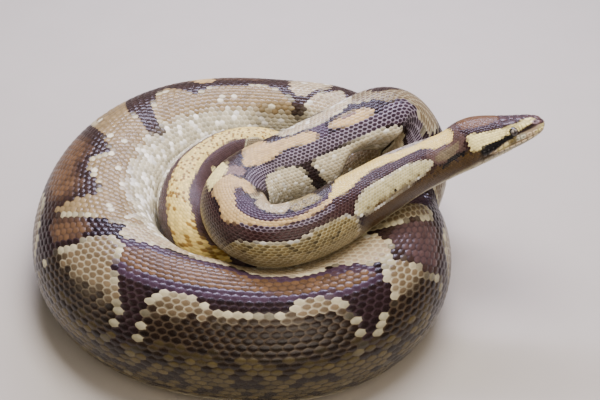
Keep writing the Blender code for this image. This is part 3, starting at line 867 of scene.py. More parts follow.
# Collar, the yellow stripe along the neck and the flank patches beside it.
NECK_MARKS = (
    Mark("neck bands", Pigment.MAROON, ((56, 30), (64, -30), (84, -6), (124, 14), (152, 2), (170, -2),
        (205, -14), (212, -40), (214, -70), (200, -80), (150, -70), (120, -40), (84, -60), (60, -60))),
    # Its pale lilac rims are partly painted highlights.
    Mark("lilac edge of the lower band", Pigment.NET, ((158, -15), (166, -20), (178, -23), (190, -26),
        (204, -31), (206, -37), (192, -33), (180, -31), (168, -28), (160, -24))),
    Mark("collar", Pigment.COLLAR, ((53, 44), (53, -34), (54.5, -50), (56, -70), (60, -74), (66, -70),
        (73, -62), (80, -58), (84, -52), (86, -36), (88, -22), (82, -8), (70, -10), (60, 0), (60, 44))),
    Mark("collar centre", Pigment.COLLAR_MID, ((60, -36), (68, -33), (76, -32), (82, -36), (82, -50),
        (74, -57), (66, -56), (60, -50))),
    Mark("collar edge", Pigment.BLACK, ((55, -64), (58, -66), (63, -59), (68, -55.5), (72, -58), (76, -64),
        (84, -71), (90, -80), (84, -78), (76, -73), (70, -69), (64, -69), (59, -76), (55, -77))),
    Mark("dark edge behind the cheek", Pigment.CROWN_EDGE, ((52, -42), (56, -46), (57.5, -54), (56.5, -64),
        (53, -66))),
    Mark("neck stripe", Pigment.NECK, ((61, 60), (61, 24), (60, 4), (60.4, -12), (62.5, -23), (66, -24),
        (71, -19), (76, -20), (79, -17), (82, -9), (85, -3), (89, 1), (94, 0), (99, -1), (106, 1), (112, 4),
        (118, 7), (124, 9), (130, 7), (136, 3), (142, -3), (148, -7), (153, -6), (157, -3), (158, 3),
        (154, 16), (149, 28), (143, 44), (137, 66), (112, 66), (108, 40), (102, 26), (88, 22), (76, 27),
        (72, 44), (70, 62))),
    Mark("far neck streaks", Pigment.STREAKS, ((68, 62), (71, 42), (76, 27), (88, 21), (103, 25), (109, 42),
        (112, 66), (90, 80))),
    # The far neck dark and olive marks are painted shade on the inner flank of the neck, which is seen
    # steeply.
    Mark("far neck dark", Pigment.UMBER, ((137, 66), (144, 42), (151, 24), (157, 13), (163, 8), (168, 30),
        (166, 70), (150, 90))),
    Mark("far neck olive", Pigment.OLIVE, ((160, 9), (168, 5), (178, 1), (182, 10), (180, 40), (176, 80),
        (164, 80), (162, 40))),
    Mark("neck stripe end", Pigment.TAN_PLAIN, ((155, 0), (162, -2), (168, -4), (176, -11), (180, -13),
        (186, -12), (192, -15), (198, -14), (206, -17), (206, -31), (199, -27), (192, -24), (184, -22),
        (178, -20), (171, -17), (164, -12), (158, -9))),
    Mark("inner blob", Pigment.PURPLE, ((150, 28), (156, 13), (160, 6), (168, 2), (176, -1), (184, -3),
        (190, -2), (195, 3), (200, 9), (207, 12), (210, 18), (213, 19), (216, 13), (219, 10), (225, 15),
        (230, 14), (230, 3), (224, -3), (219, -6), (215, -12), (210, -16), (204, -14), (198, -12),
        (193, -13), (186, -11), (178, -8), (170, -5), (162, -1), (157, 5), (150, 19))),
    Mark("inner blob tail", Pigment.MAROON, ((220, 10), (226, 15), (231, 13), (230, 3), (224, -3),
        (219, 0))),
    # The inner flank is painted olive grey, darker than its own pale colour: painted shade where it turns
    # from the light.
    Mark("inner flank", Pigment.TAN_GREY, ((178, 60), (180, 30), (182, 8), (184, 2), (190, 3), (196, 10),
        (205, 15), (210, 28), (216, 40), (240, 60), (240, 110), (178, 110))),
    Mark("inner flank tan", Pigment.TAN, ((212, 30), (214, 20), (222, 18), (236, 20), (240, 30), (236, 40),
        (226, 44), (216, 42)), edge=1.4),
    # Below its foot the first neck patch turns into the painted shade of the underside.
    Mark("first neck patch", Pigment.OLIVE_PALE, ((84, -44), (87, -35), (92, -29), (98, -24), (106, -21),
        (114, -21), (119, -23), (124, -19), (131, -18), (138, -21), (144, -28), (148, -37), (151, -48),
        (150, -62), (140, -68), (124, -66), (108, -66), (96, -62), (88, -54)), edge=2.0,
        border=Pigment.PALE, lower=Pigment.SHADED_UNDERSIDE, fade=(50, 64)),
    Mark("spot in the first neck patch", Pigment.UMBER, ((119, -49), (121, -49), (122, -56), (120, -58))),
    Mark("second neck patch", Pigment.OLIVE, ((150, -58), (153, -49), (157, -42), (163, -39), (170, -41),
        (176, -46), (181, -53), (185, -55), (190, -53), (196, -55), (202, -61), (207, -70), (210, -85),
        (212, -118), (150, -118)), edge=1.9, border=Pigment.PALE, lower=Pigment.OLIVE_PALE, fade=(76, 100)),
    Mark("third neck patch", Pigment.TAN_GREY, ((219, -74), (226, -68), (232, -68), (235, -78), (237, -96),
        (236, -116), (224, -116), (220, -92)), edge=1.4),
    arch("far neck patch", 88, 22, 44, 1),
    arch("second far neck patch", 128, 15, 42, 1),
)

# The hairpin and the stretch that climbs over the coil.
TOP_MARKS = (
    Mark("hairpin tan", Pigment.TAN_PLAIN, ((201, -26), (208, -40), (213, -47), (218, -41), (222, -34),
        (227, -33), (231, -39), (236, -38), (240, -30), (244, -22), (245, -5), (243, 6), (241, 15),
        (240, 28), (234, 34), (226, 36), (220, 28), (222, 17), (229, 16), (231, 4), (224, -4), (218, -7),
        (214, -13), (208, -17), (202, -16))),
    Mark("hairpin brown", Pigment.BACK_PALE, ((244, 14), (246, 2), (245, -12), (247, -20), (256, -18),
        (256, -8), (255, 6), (252, 14))),
    Mark("hairpin outer bands", Pigment.MAROON, ((204, -40), (212, -50), (220, -44), (234, -44), (240, -34),
        (246, -22), (258, -20), (268, -40), (272, -62), (266, -90), (220, -100), (206, -80))),
    Mark("hairpin cream streak", Pigment.CREAM, ((236, -42), (240, -31), (244, -19), (250, -16), (256, -23),
        (260, -40), (263, -62), (262, -84), (254, -84), (249, -62), (243, -50))),
    Mark("hairpin bar", Pigment.BACK_DARK, ((253, -15), (258, -5), (265, -24), (270, -44), (273, -64),
        (266, -70), (263, -50), (259, -30))),
    # The net's pale rims are partly painted highlights.
    Mark("hairpin net", Pigment.NET, ((236, 36), (240, 24), (252, 17), (264, 19), (272, 24), (280, 23),
        (288, 13), (296, 13), (304, 17), (314, 12), (326, 14), (338, 16), (348, 16), (356, 12), (364, 8),
        (370, 6), (374, 12), (378, 15), (384, 5), (390, -6), (392, 8), (388, 20), (382, 32), (376, 42),
        (368, 46), (362, 42), (356, 38), (344, 35), (330, 37), (316, 38), (304, 39), (296, 42), (282, 37),
        (272, 40), (264, 44), (258, 52), (254, 66), (246, 64), (240, 54))),
    Mark("first back patch", Pigment.TAN_PLAIN, ((256, 8), (261, 14), (268, 21), (276, 20), (283, 16),
        (288, 11), (296, 11), (304, 15), (311, 14), (314, 8), (313, 0), (309, -8), (300, -12), (292, -15),
        (285, -17), (284, -40), (286, -64), (276, -64), (274, -46), (270, -28), (266, -12), (259, -3)),
        edge=0.9, border=Pigment.TAN),
    Mark("purple between the patches", Pigment.PURPLE, ((313, 14), (320, 12), (322, 0), (320, -12),
        (310, -14), (313, -2))),
    Mark("second back patch", Pigment.TAN_PLAIN, ((322, 2), (325, 9), (330, 13), (338, 15), (345, 15),
        (350, 11), (351, 6), (348, 2), (346, -4), (342, -8), (334, -8), (326, -6)), edge=0.9,
        border=Pigment.TAN),
    Mark("blush", Pigment.BACK_PALE, ((333, -1), (337, 1), (341, -2), (338, -6), (333, -5))),
    Mark("tan beside the turn", Pigment.TAN, ((357, 0), (360, 7), (366, 6), (372, 6), (375, 12), (379, 14),
        (384, 3), (388, -8), (388, -50), (372, -70), (352, -60), (344, -22), (350, -14), (356, -10)),
        edge=0.9),
    Mark("oval beside the turn", Pigment.BACK_DARK, ((360, -20), (366, -17), (372, -24), (372, -46),
        (366, -54), (360, -44))),
    # The near patches are painted light: lighter than their own tan, so that the shaded near flank looks lit.
    Mark("first near patch", Pigment.TAN_LIGHT, ((252, 130), (251, 84), (256, 60), (259, 51), (264, 45),
        (272, 41), (281, 38), (288, 41), (293, 46), (296, 60), (298, 78), (301, 104), (302, 132)), edge=2.0,
        lower=Pigment.PALE, fade=(60, 84)),
    Mark("second near patch", Pigment.TAN_LIGHT, ((303, 62), (301, 49), (305, 41), (316, 40), (330, 39),
        (344, 37), (352, 39), (358, 44), (364, 50), (369, 62), (372, 90), (372, 130), (314, 132),
        (308, 96)), edge=2.3, border=Pigment.PALE, lower=Pigment.PALE, fade=(70, 96)),
    Mark("near flank behind the turn", Pigment.TAN_GREY, ((372, 54), (378, 48), (385, 38), (392, 20),
        (398, 10), (412, 30), (418, 62), (400, 96), (378, 96)), edge=1.8, lower=Pigment.PALE,
        fade=(60, 100)),
    Mark("far flank", Pigment.TAN_GREY, ((294, -22), (304, -14), (320, -11), (336, -16), (348, -30),
        (356, -62), (362, -120), (292, -120), (294, -60)), edge=1.8, lower=Pigment.PALE, fade=(26, 60)),
    Mark("bar of the far flank", Pigment.GROUND, ((317, -52), (323, -44), (329, -46), (333, -58),
        (335, -84), (340, -118), (308, -118), (316, -84))),
    arch("drop near patch", 432, 17, 40, 1),
    arch("drop far patch", 408, 19, 42, -1),
    arch("drop second far patch", 444, 13, 46, -1),
)

# The front of the outer coil, from the right side to the left corner.
FRONT_MARKS = (
    Mark("border of the right saddle", Pigment.BACK_DARK, ((474, -26), (480, -8), (486, 8), (494, 24),
        (503, 24), (511, 10), (516, -6), (512, -30), (504, -44), (490, -42))),
    Mark("saddle at the right", Pigment.HIND, ((478, -24), (484, -8), (490, 6), (497, 18), (503, 16),
        (507, 4), (510, -8), (508, -26), (503, -38), (494, -34), (486, -28))),
    Mark("border of the back stripe", Pigment.PURPLE, ((528, -10), (530, 8), (542, 20), (560, 22),
        (580, 25), (598, 31), (610, 40), (630, 42), (652, 44), (668, 41), (680, 31), (690, 22), (684, 8),
        (674, -4), (650, -3), (620, -3), (580, -5), (552, -10))),
    Mark("front back stripe", Pigment.BACK, ((533, -6), (533, 4), (544, 11), (560, 14), (580, 16),
        (598, 21), (612, 31), (630, 33), (650, 34), (664, 31), (674, 25), (680, 18), (677, 8), (670, 2),
        (650, 4), (630, 5), (610, 4), (590, 3), (572, 1), (560, -1), (546, -6))),
    Mark("first inner patch", Pigment.TAN, ((467, -14), (470, -19), (475, -19), (479, -14), (481, -5),
        (485, 5), (490, 12), (494, 20), (499, 28), (503, 38), (500, 62), (492, 90), (462, 90), (458, 50),
        (462, 10)), edge=2.8, lower=Pigment.PALE, fade=(60, 90)),
    Mark("second inner patch", Pigment.TAN_GREY, ((505, 46), (504, 31), (506, 15), (509, 8), (514, 4),
        (518, 0), (523, 3), (527, 6), (534, 12), (540, 18), (546, 24), (549, 30), (551, 22), (560, 21),
        (572, 22), (584, 25), (596, 30), (602, 37), (607, 44), (612, 46), (617, 43), (630, 43), (648, 45),
        (660, 47), (668, 42), (678, 34), (690, 26), (700, 28), (700, 60), (690, 100), (520, 100),
        (508, 80)), edge=2.2, lower=Pigment.PALE, fade=(56, 84)),
    # Below their tops the front patches fade into CHECK or UMBER: partly the low flank's own dark colour and
    # partly painted shade.
    Mark("right low patch", Pigment.TAN, ((457, -56), (460, -49), (464, -44), (470, -40), (478, -37),
        (484, -38), (489, -43), (492, -50), (496, -58), (500, -66), (496, -112), (462, -112)), edge=2.3,
        lower=Pigment.CHECK, fade=(60, 84)),
    Mark("right patch", Pigment.TAN, ((513, -6), (517, -1), (522, -1), (526, -4), (529, -10), (530, -18),
        (531, -25), (535, -31), (541, -38), (545, -45), (547, -53), (546, -70), (540, -112), (510, -112),
        (509, -76), (504, -60), (503, -50), (504, -41), (508, -32), (510, -22), (511, -12)), edge=2.6,
        lower=Pigment.UMBER, fade=(24, 36)),
    Mark("front patch", Pigment.TAN, ((552, -28), (553, -20), (556, -12), (560, -7), (566, -3), (571, -3),
        (575, -8), (580, -15), (587, -18), (600, -17), (612, -16), (620, -12), (628, -6), (636, -4),
        (643, -6), (647, -14), (649, -25), (648, -40), (648, -54), (650, -70), (654, -112), (560, -112),
        (556, -74), (552, -56), (551, -40)), edge=2.6, lower=Pigment.UMBER, fade=(15, 27)),
    Mark("left patch", Pigment.TAN, ((660, -56), (657, -42), (659, -31), (661, -21), (667, -12), (674, -4),
        (677, 4), (679, 11), (682, 17), (687, 20), (693, 19), (699, 13), (702, 5), (703, -5), (704, -14),
        (707, -20), (710, -28), (713, -40), (715, -54), (716, -72), (708, -112), (668, -112), (664, -80)),
        edge=2.4, lower=Pigment.UMBER, fade=(20, 34)),
    Mark("right bar foot", Pigment.GROUND, ((541, -62), (548, -58), (556, -60), (560, -84), (552, -92),
        (543, -86))),
)

# The left and the back of the outer coil.
LEFT_MARKS = (
    Mark("ground of the left and the back", Pigment.BACK_DARK, ((722, -60), (722, 120), (1010, 120),
        (1010, -60))),
    Mark("shade round the left back brown", Pigment.BACK_MID, ((706, 8), (712, 14), (719, 8), (724, -2),
        (731, -14), (728, -24), (718, -27), (711, -19), (706, -6))),
    Mark("left back brown", Pigment.BACK, ((709, 4), (713, 8), (718, 3), (722, -5), (726, -14), (724, -20),
        (718, -21), (713, -15), (710, -6))),
    Mark("left inner patch", Pigment.TAN_INNER, ((704, 36), (708, 27), (714, 20), (720, 12), (724, 4),
        (728, -6), (733, -13), (738, -17), (741, -9), (740, 2), (739, 12), (738, 20), (740, 27), (745, 29),
        (750, 27), (757, 23), (762, 18), (768, 14), (773, 13), (777, 17), (780, 26), (783, 32), (787, 32),
        (791, 27), (797, 20), (803, 13), (808, 5), (813, -4), (818, -13), (824, -26), (830, -44),
        (840, -60), (860, -60), (856, -42), (850, -26), (845, -12), (840, 0), (836, 10), (831, 20),
        (828, 33), (824, 47), (819, 60), (814, 76), (806, 104), (700, 104), (694, 70), (698, 48)), edge=1.6,
        lower=Pigment.PALE, fade=(48, 64)),
    Mark("border of the left saddle", Pigment.BACK_DARK, ((738, 27), (748, 27), (757, 22), (765, 15),
        (772, 13), (776, 16), (779, 24), (782, 31), (787, 30), (793, 24), (801, 17), (807, 9), (813, -3),
        (819, -15), (826, -30), (806, -52), (776, -50), (764, -38), (752, -31), (738, -33), (739, -10))),
    Mark("shade round the left saddle", Pigment.BACK_MID, ((744, 13), (752, 16), (762, 8), (773, 5),
        (782, 15), (790, 12), (797, 5), (804, -5), (812, -19), (816, -34), (796, -48), (780, -40),
        (764, -32), (750, -26), (743, -8))),
    Mark("left saddle", Pigment.BACK, ((749, 4), (756, 7), (764, 0), (773, -3), (781, 5), (788, 4),
        (795, -2), (802, -11), (808, -23), (812, -34), (796, -44), (780, -34), (765, -27), (754, -20),
        (748, -8))),
    # Below its top it fades into UMBER: partly the dark low flank and partly painted shade.
    Mark("left low patch", Pigment.TAN, ((724, -60), (729, -48), (733, -41), (741, -36), (750, -32),
        (757, -32), (764, -37), (770, -44), (777, -54), (782, -72), (780, -112), (730, -112), (724, -84)),
        edge=2.2, lower=Pigment.UMBER, fade=(46, 66)),
    Mark("back inner patch", Pigment.TAN_INNER, ((826, 104), (832, 74), (836, 54), (839, 42), (845, 29),
        (852, 20), (858, 12), (864, 5), (867, 4), (871, 10), (875, 17), (876, 25), (879, 30), (884, 28),
        (889, 23), (896, 20), (905, 20), (915, 19), (922, 17), (930, 17), (937, 20), (942, 27), (947, 35),
        (949, 44), (950, 60), (944, 104)), edge=1.8, lower=Pigment.PALE, fade=(50, 64)),
    Mark("back brown", Pigment.BACK_DARK, ((856, -4), (862, -14), (880, -18), (906, -14), (930, -14),
        (940, 0), (936, 10), (920, 10), (904, 8), (890, 2), (876, 2), (868, -4))),
    Mark("shade within the back brown", Pigment.BACK_MID, ((862, -10), (872, -14), (906, -11), (928, -10),
        (932, 2), (918, 6), (902, 4), (888, -2), (872, -4))),
    Mark("light spot on the back", Pigment.TAN_PLAIN, ((884, 4), (888, 8), (896, 8), (899, 0), (897, -18),
        (888, -20))),
    Mark("patch beside the fork", Pigment.TAN_GREY, ((947, 18), (949, 27), (954, 31), (959, 27), (964, 18),
        (969, 8), (972, 0), (972, -30), (950, -34), (948, -10))),
    Mark("patch behind the fork", Pigment.TAN_GREY, ((958, 104), (956, 60), (958, 42), (962, 30), (968, 20),
        (974, 8), (980, 0), (986, 12), (990, 40), (992, 104)), edge=1.2, lower=Pigment.PALE, fade=(44, 62)),
    *(arch(f"outer patch {k}", 812 + 46 * k, 17 - k, 44, -1, lobe=0.3 + 0.2 * (k % 2)) for k in range(4)),
)

# The inner coil, mostly hidden, with patches of the usual kind on both flanks.
INNER_MARKS = (
    # Painted light: a pale patch on the inner coil where the gap beside the neck lies in shade, so that it
    # reads as lit flank.
    Mark("pale paint over the shaded gap beside the neck", Pigment.TAN_GREY, ((1018, -30), (1024, -60), (1044, -70),
        (1066, -60), (1074, -10), (1066, 40), (1040, 50), (1020, 30)), edge=1.6),
    *(arch(f"inner coil patch {k}", 1008 + 35 * k, 13 - 0.6 * k, 38, 1, lobe=0.4) for k in range(5)),
    *(arch(f"inner coil far patch {k}", 1000 + 35 * k, 13 - 0.6 * k, 40, -1, lobe=0.2) for k in range(5)),
)

# The hind body and tail, with a pale stripe along the back between two dark ones.
HIND_MARKS = (
    Mark("ground of the hind body", Pigment.HIND, ((1150, -130), (1150, 130), (1284, 130), (1284, -130))),
    Mark("hind stripe", Pigment.YELLOW, ((1166, -58), (1174, -52), (1178, -40), (1182, -27), (1186, -13),
        (1191, -3), (1197, 3), (1203, 10), (1210, 18), (1217, 25), (1226, 29), (1240, 31), (1255, 31),
        (1262, 29), (1272, 26), (1281, 30), (1290, 40), (1304, 46), (1320, 60), (1336, 60), (1336, -60),
        (1318, -50), (1290, -40), (1272, -20), (1258, -14), (1248, -15), (1235, -18), (1222, -22),
        (1212, -28), (1204, -36), (1196, -47), (1190, -60), (1184, -84), (1172, -92), (1162, -80))),
    Mark("hind flank", Pigment.PALE, ((1200, -96), (1204, -68), (1211, -53), (1218, -43), (1226, -35),
        (1234, -29), (1246, -23), (1260, -19), (1276, -32), (1296, -50), (1330, -64), (1330, -110),
        (1220, -120))),
    Mark("tail tan", Pigment.TAN, ((1279, 58), (1282, 46), (1284, 32), (1292, 30), (1298, 40), (1297, 66),
        (1288, 84), (1280, 80)), edge=1.2),
    Mark("tail dark", Pigment.GROUND, ((1297, 50), (1299, 34), (1306, 34), (1318, 50), (1318, 84),
        (1300, 80))),
    Mark("light spot on the dark stripe", Pigment.CREAM, ((1236, 58), (1239, 54), (1244, 58), (1243, 66),
        (1237, 66))),
    arch("hind near patch", 1222, 16, 68, 1),
    arch("hind near second patch", 1258, 13, 70, 1),
)


@dataclass(frozen=True)
class Wash:
    """A gradual change of colour over one stretch of flank."""

    name: str
    pigment: Pigment
    stretch: tuple[float, float]     # distances from the snout
    angles: tuple[float, float]      # where it starts and where it is full, signed by its side
    strength: float = 1.0
    beneath: bool = False            # whether the marks of the trunk lie over it
    end_fade: float = 12.0           # the length over which each end fades, in millimetres


WASHES = (
    # The first three washes are painted shade on the throat and on the low flank of the neck.
    Wash("neck flank", Pigment.SHADED_UNDERSIDE, (64, 150), (-56, -70), 0.9, beneath=True),
    Wash("throat", Pigment.SHADED_UNDERSIDE, (30, 112), (64, 76)),
    Wash("throat other side", Pigment.SHADED_UNDERSIDE, (30, 112), (-70, -78)),
    # The low flank washes are partly the checkered pattern and partly painted shade.
    Wash("front low flank", Pigment.CHECK, (470, 728), (-46, -66), 0.85),
    Wash("left low flank", Pigment.CHECK, (700, 800), (-62, -86), 0.85),
    Wash("neck belly", Pigment.TAN, (140, 262), (-74, -98), 0.7),
    Wash("inner left flank", Pigment.PALE, (668, 990), (52, 68), 0.95),
)
BELLY_ANGLES = (104.0, 128.0)
SCATTER_SEED = 20714

# The marks behind the head were drawn on a body with a longer neck and a shorter fore trunk.
# Their distances run ahead of those of this body by NECK_LEAD from the end of the neck on, less
# TRUNK_LAG behind the fore trunk.
NECK_LEAD = 8.0
NECK_LEAD_FULL = 100.0
TRUNK_LAG = 1.8
TRUNK_LAG_REACH = (459.0, 559.0)


@dataclass
class Markings:
    """The whole pattern, read at any place of the skin."""

    hide: Hide
    soft: float = 0.55           # width of the change at the rim of a mark, in millimetres
    margin: float = 3.0          # places this far outside a mark's box are left alone
    shade_spread: float = 3.4    # how far the brightness of scales spreads for a scatter of one
    border_strength: float = 0.85
    border_core: float = 0.35    # the share of a border's width that has its full strength
    fade_jitter: float = 9.0     # how unevenly scales turn into the lower colour, in degrees
    wash_jitter: float = 12.0    # and into a wash

    def __post_init__(self) -> None:
        """Gather the marks in the order in which they are laid."""
        self.trunk = NECK_MARKS + TOP_MARKS + FRONT_MARKS + LEFT_MARKS + INNER_MARKS + HIND_MARKS
        self.head = CROWN_MARKS + tuple(part for mark in CHEEK_MARKS for part in both_sides(mark))

    def colours(self, back: Rows, turn: Rows, seed: Optional[int] = None) -> tuple[Rows, Rows]:
        """Read the pattern.

        Args:
            back: distances from the snout.
            turn: angles in degrees.
            seed: for flecks and scatter, or None for the even pattern of the skin.

        Returns:
            The colour of a scale's middle and of its rim, as linear rows.
        """
        turn = (np.asarray(turn, float) + 180) % 360 - 180
        back = np.asarray(back, float)
        drawn = back + NECK_LEAD * ramp(back, 0, NECK_LEAD_FULL) - TRUNK_LAG * ramp(back, *TRUNK_LAG_REACH)
        chance = None if seed is None else np.random.default_rng(seed).random((3, len(back)))
        fill, rim = self.paint(Pigment.GROUND, chance, len(back))
        under = [wash for wash in WASHES if wash.beneath]
        over = [wash for wash in WASHES if not wash.beneath]
        for layer in (*under, *self.trunk, *over):
            lay = self.lay_mark if isinstance(layer, Mark) else self.lay_wash
            lay(layer, drawn, turn, chance, fill, rim)
        for mark in self.head:
            self.lay_mark(mark, back, turn, chance, fill, rim)
        belly = ramp(np.abs(turn), *BELLY_ANGLES)
        self.mix(fill, rim, self.paint(Pigment.BELLY, chance, len(back)), belly)
        return fill, rim

    def paint(self, pigment: Pigment, chance: Optional[Rows], count: int) -> tuple[Rows, Rows]:
        """Fill and rim of one pigment for each place, with its flecks and scatter.

        Args:
            pigment: the pigment.
            chance: three random numbers for each place, or None for even colour.
            count: how many places there are.

        Returns:
            Two rows of linear colours.
        """
        paint = pigment.value
        fill = np.tile(linear(paint.fill), (count, 1))
        rim = np.tile(linear(paint.rim), (count, 1))
        if chance is not None:
            odd = chance[0] < paint.flecks
            fill[odd] = linear(paint.fleck)
            rim[odd] = 0.5 * rim[odd] + 0.5 * np.array(linear(paint.fleck))
            shade = (1 + self.shade_spread * paint.scatter * (chance[1] - 0.5))[:, None]
            fill *= shade
            rim *= 0.5 + 0.5 * shade
        return fill, rim

    @staticmethod
    def mix(fill: Rows, rim: Rows, new: tuple[Rows, Rows], share: Rows) -> None:
        """Blend new colours into fill and rim, in place."""
        fill += (new[0] - fill) * share[:, None]
        rim += (new[1] - rim) * share[:, None]

    def lay_mark(self, mark: Mark, back: Rows, turn: Rows, chance: Optional[Rows],
                 fill: Rows, rim: Rows) -> None:
        """Lay one mark over the colours so far, in place.

        Args:
            mark: the mark.
            back: distances from the snout.
            turn: angles in degrees.
            chance: three random numbers for each place, or None.
            fill: the colours of the scales' middles.
            rim: the colours of their rims.
        """
        line = np.array(mark.outline)
        low, high = line.min(axis=0) - self.margin, line.max(axis=0) + self.margin
        here = np.nonzero((back > low[0]) & (back < high[0]) & (turn > low[1]) & (turn < high[1]))[0]
        if len(here) == 0:
            return
        degree = math.radians(1) * float(self.hide.girth(line[:, 0].mean()))
        depth = mark.inside(back[here], turn[here], degree)
        luck = np.full((3, len(here)), 0.5) if chance is None else chance[:, here]
        draw = None if chance is None else luck
        new = self.paint(mark.pigment, draw, len(here))
        if mark.lower is not None:
            fall = ramp(np.abs(turn[here]) + self.fade_jitter * (luck[2] - 0.5), *mark.fade)
            self.mix(*new, self.paint(mark.lower, draw, len(here)), fall)
        if mark.edge:
            border = ramp(depth, mark.edge, mark.edge * self.border_core) * self.border_strength
            if draw is not None:
                border *= 0.55 + 0.45 * draw[2]
            self.mix(*new, self.paint(mark.border, draw, len(here)), border)
        patch = fill[here], rim[here]
        self.mix(*patch, new, ramp(depth, -self.soft, self.soft))
        fill[here], rim[here] = patch

    def lay_wash(self, wash: Wash, back: Rows, turn: Rows, chance: Optional[Rows],
                 fill: Rows, rim: Rows) -> None:
        """Lay one wash over the colours so far, in place.

        Args:
            wash: the wash.
            back: distances from the snout.
            turn: angles in degrees.
            chance: three random numbers for each place, or None.
            fill: the colours of the scales' middles.
            rim: the colours of their rims.
        """
        side = 1 if wash.angles[1] > 0 else -1
        jitter = 0 if chance is None else self.wash_jitter * (chance[2] - 0.5)
        share = ramp(side * turn + jitter, *np.abs(wash.angles)) * wash.strength
        first, last = wash.stretch
        share *= ramp(back, first, first + wash.end_fade) * ramp(back, last, last - wash.end_fade)
        self.mix(fill, rim, self.paint(wash.pigment, chance, len(back)), share)


# ---------------------------------------------------------------- finishes

def node(tree: bpy.types.NodeTree, kind: str, settings: Optional[dict] = None,
         links: Optional[dict] = None) -> bpy.types.Node:
    """Add a node with its settings and links.

    Args:
        tree: the node tree.
        kind: the node's type name.
        settings: its properties by name, and its input values by socket name or index.
        links: for each input socket, by name or index, the output socket that feeds it.

    Returns:
        The node.
    """
    made = tree.nodes.new(kind)
    for name, value in (settings or {}).items():
        if isinstance(name, str) and hasattr(made, name):
            setattr(made, name, value)
        else:
            made.inputs[name].default_value = value
    for name, source in (links or {}).items():
        tree.links.new(source, made.inputs[name])
    return made


@dataclass(frozen=True)
class Finish:
    """A finish made of nodes, whose colour varies in soft clouds.  Each kind below adds its own."""

    name: str

    def start(self, sockets: dict[str, float]
              ) -> tuple[bpy.types.Material, bpy.types.Node, bpy.types.NodeSocket]:
        """Start a material.

        Args:
            sockets: the shader's even values, by socket name.

        Returns:
            The material, its shader and the socket that gives places on the object.
        """
        material = bpy.data.materials.new(self.name)
        material.use_nodes = True
        tree = material.node_tree
        tree.nodes.clear()
        shader = node(tree, "ShaderNodeBsdfPrincipled", sockets)
        node(tree, "ShaderNodeOutputMaterial", links={"Surface": shader.outputs["BSDF"]})
        return material, shader, node(tree, "ShaderNodeTexCoord").outputs["Object"]

    @staticmethod
    def cloud(shader: bpy.types.Node, place: bpy.types.NodeSocket, size: float, detail: float,
              shades: tuple[float, float], limits: tuple[float, float] = (0.3, 0.7),
              base: Optional[tuple[float, float, float]] = None) -> None:
        """Feed the base colour through a cloudy change of shade.

        Args:
            shader: the shader to feed.
            place: the socket that gives places on the object.
            size: the size of a cloud, in millimetres.
            detail: how many finer layers the clouds have.
            shades: the factors for the darkest and the lightest parts.
            limits: the noise values that stand for these.
            base: the colour, or None for the pattern of the skin.
        """
        tree = shader.id_data
        noise = node(tree, "ShaderNodeTexNoise", {"Scale": 1 / (size * MM), "Detail": detail},
                     {"Vector": place})
        shade = node(tree, "ShaderNodeMapRange", {
            "From Min": limits[0], "From Max": limits[1], "To Min": shades[0], "To Max": shades[1],
        }, {"Value": noise.outputs["Fac"]})
        colour = node(tree, "ShaderNodeVectorMath", {"operation": "SCALE"},
                      {"Scale": shade.outputs["Result"]})
        if base is None:
            pattern = node(tree, "ShaderNodeAttribute", {"attribute_name": "Pattern"})
            tree.links.new(pattern.outputs["Color"], colour.inputs[0])
        else:
            colour.inputs[0].default_value = base
        tree.links.new(colour.outputs["Vector"], shader.inputs["Base Color"])


@dataclass(frozen=True)
class Keratin(Finish):
    """Scales: thin keratin over pigment, grown smooth and slightly waxy.

    The keratin gives a soft sheen and a highlight on each scale, the pigment under it gives
    the colour, and faint growth lines keep the highlight from looking like glass.
    """

    roughness: float = 0.28
    rough_change: float = 0.07
    blotch: float = 3.0          # size of the cloudy change of shade, in millimetres
    grain: float = 0.35          # size of the grain in the keratin, drawn coarse enough to show
    bump: float = 0.06           # its height, in millimetres
    coat: float = 0.0

    def make(self) -> bpy.types.Material:
        """Make the material.

        Returns:
            The material.
        """
        material, shader, place = self.start({
            "IOR": 1.45, "Specular IOR Level": 0.44, "Coat Weight": self.coat, "Coat Roughness": 0.28})
        tree = material.node_tree
        self.cloud(shader, place, self.blotch, 3.0, (0.86, 1.12))
        grain = node(tree, "ShaderNodeTexNoise", {"Scale": 1 / (self.grain * MM), "Detail": 2.0},
                     {"Vector": place}).outputs["Fac"]
        rough = node(tree, "ShaderNodeMapRange", {
            "From Min": 0.3, "From Max": 0.7, "To Min": self.roughness - self.rough_change,
            "To Max": self.roughness + self.rough_change}, {"Value": grain})
        bump = node(tree, "ShaderNodeBump", {"Strength": 0.5, "Distance": self.bump * MM}, {"Height": grain})
        tree.links.new(rough.outputs["Result"], shader.inputs["Roughness"])
        tree.links.new(bump.outputs["Normal"], shader.inputs["Normal"])
        return material


@dataclass(frozen=True)
class EyeBall(Finish):
    """The eye: a dark iris with a slit pupil under a clear fixed scale, which shines like wet glass."""

    flecks_per_mm: float = 2.2

    def make(self) -> bpy.types.Material:
        """Make the material.

        Returns:
            The material.
        """
        material, shader, place = self.start({
            "Roughness": 0.12, "IOR": 1.38, "Coat Weight": 1.0, "Coat Roughness": 0.02})
        self.cloud(shader, place, 1 / self.flecks_per_mm, 3.0, (0.6, 1.4))
        return material


@dataclass(frozen=True)
class Plaster(Finish):
    """The pale floor: matt painted board, which takes a soft shadow and gives no shine."""

    colour: str = "#b9b2a8"
    patches_per_mm: float = 0.03

    def make(self) -> bpy.types.Material:
        """Make the material.

        Returns:
            The material.
        """
        material, shader, place = self.start({"Roughness": 0.85})
        self.cloud(shader, place, 1 / self.patches_per_mm, 5.0, (0.96, 1.03), (0.0, 1.0), linear(self.colour))
        return material


# ---------------------------------------------------------------- meshes

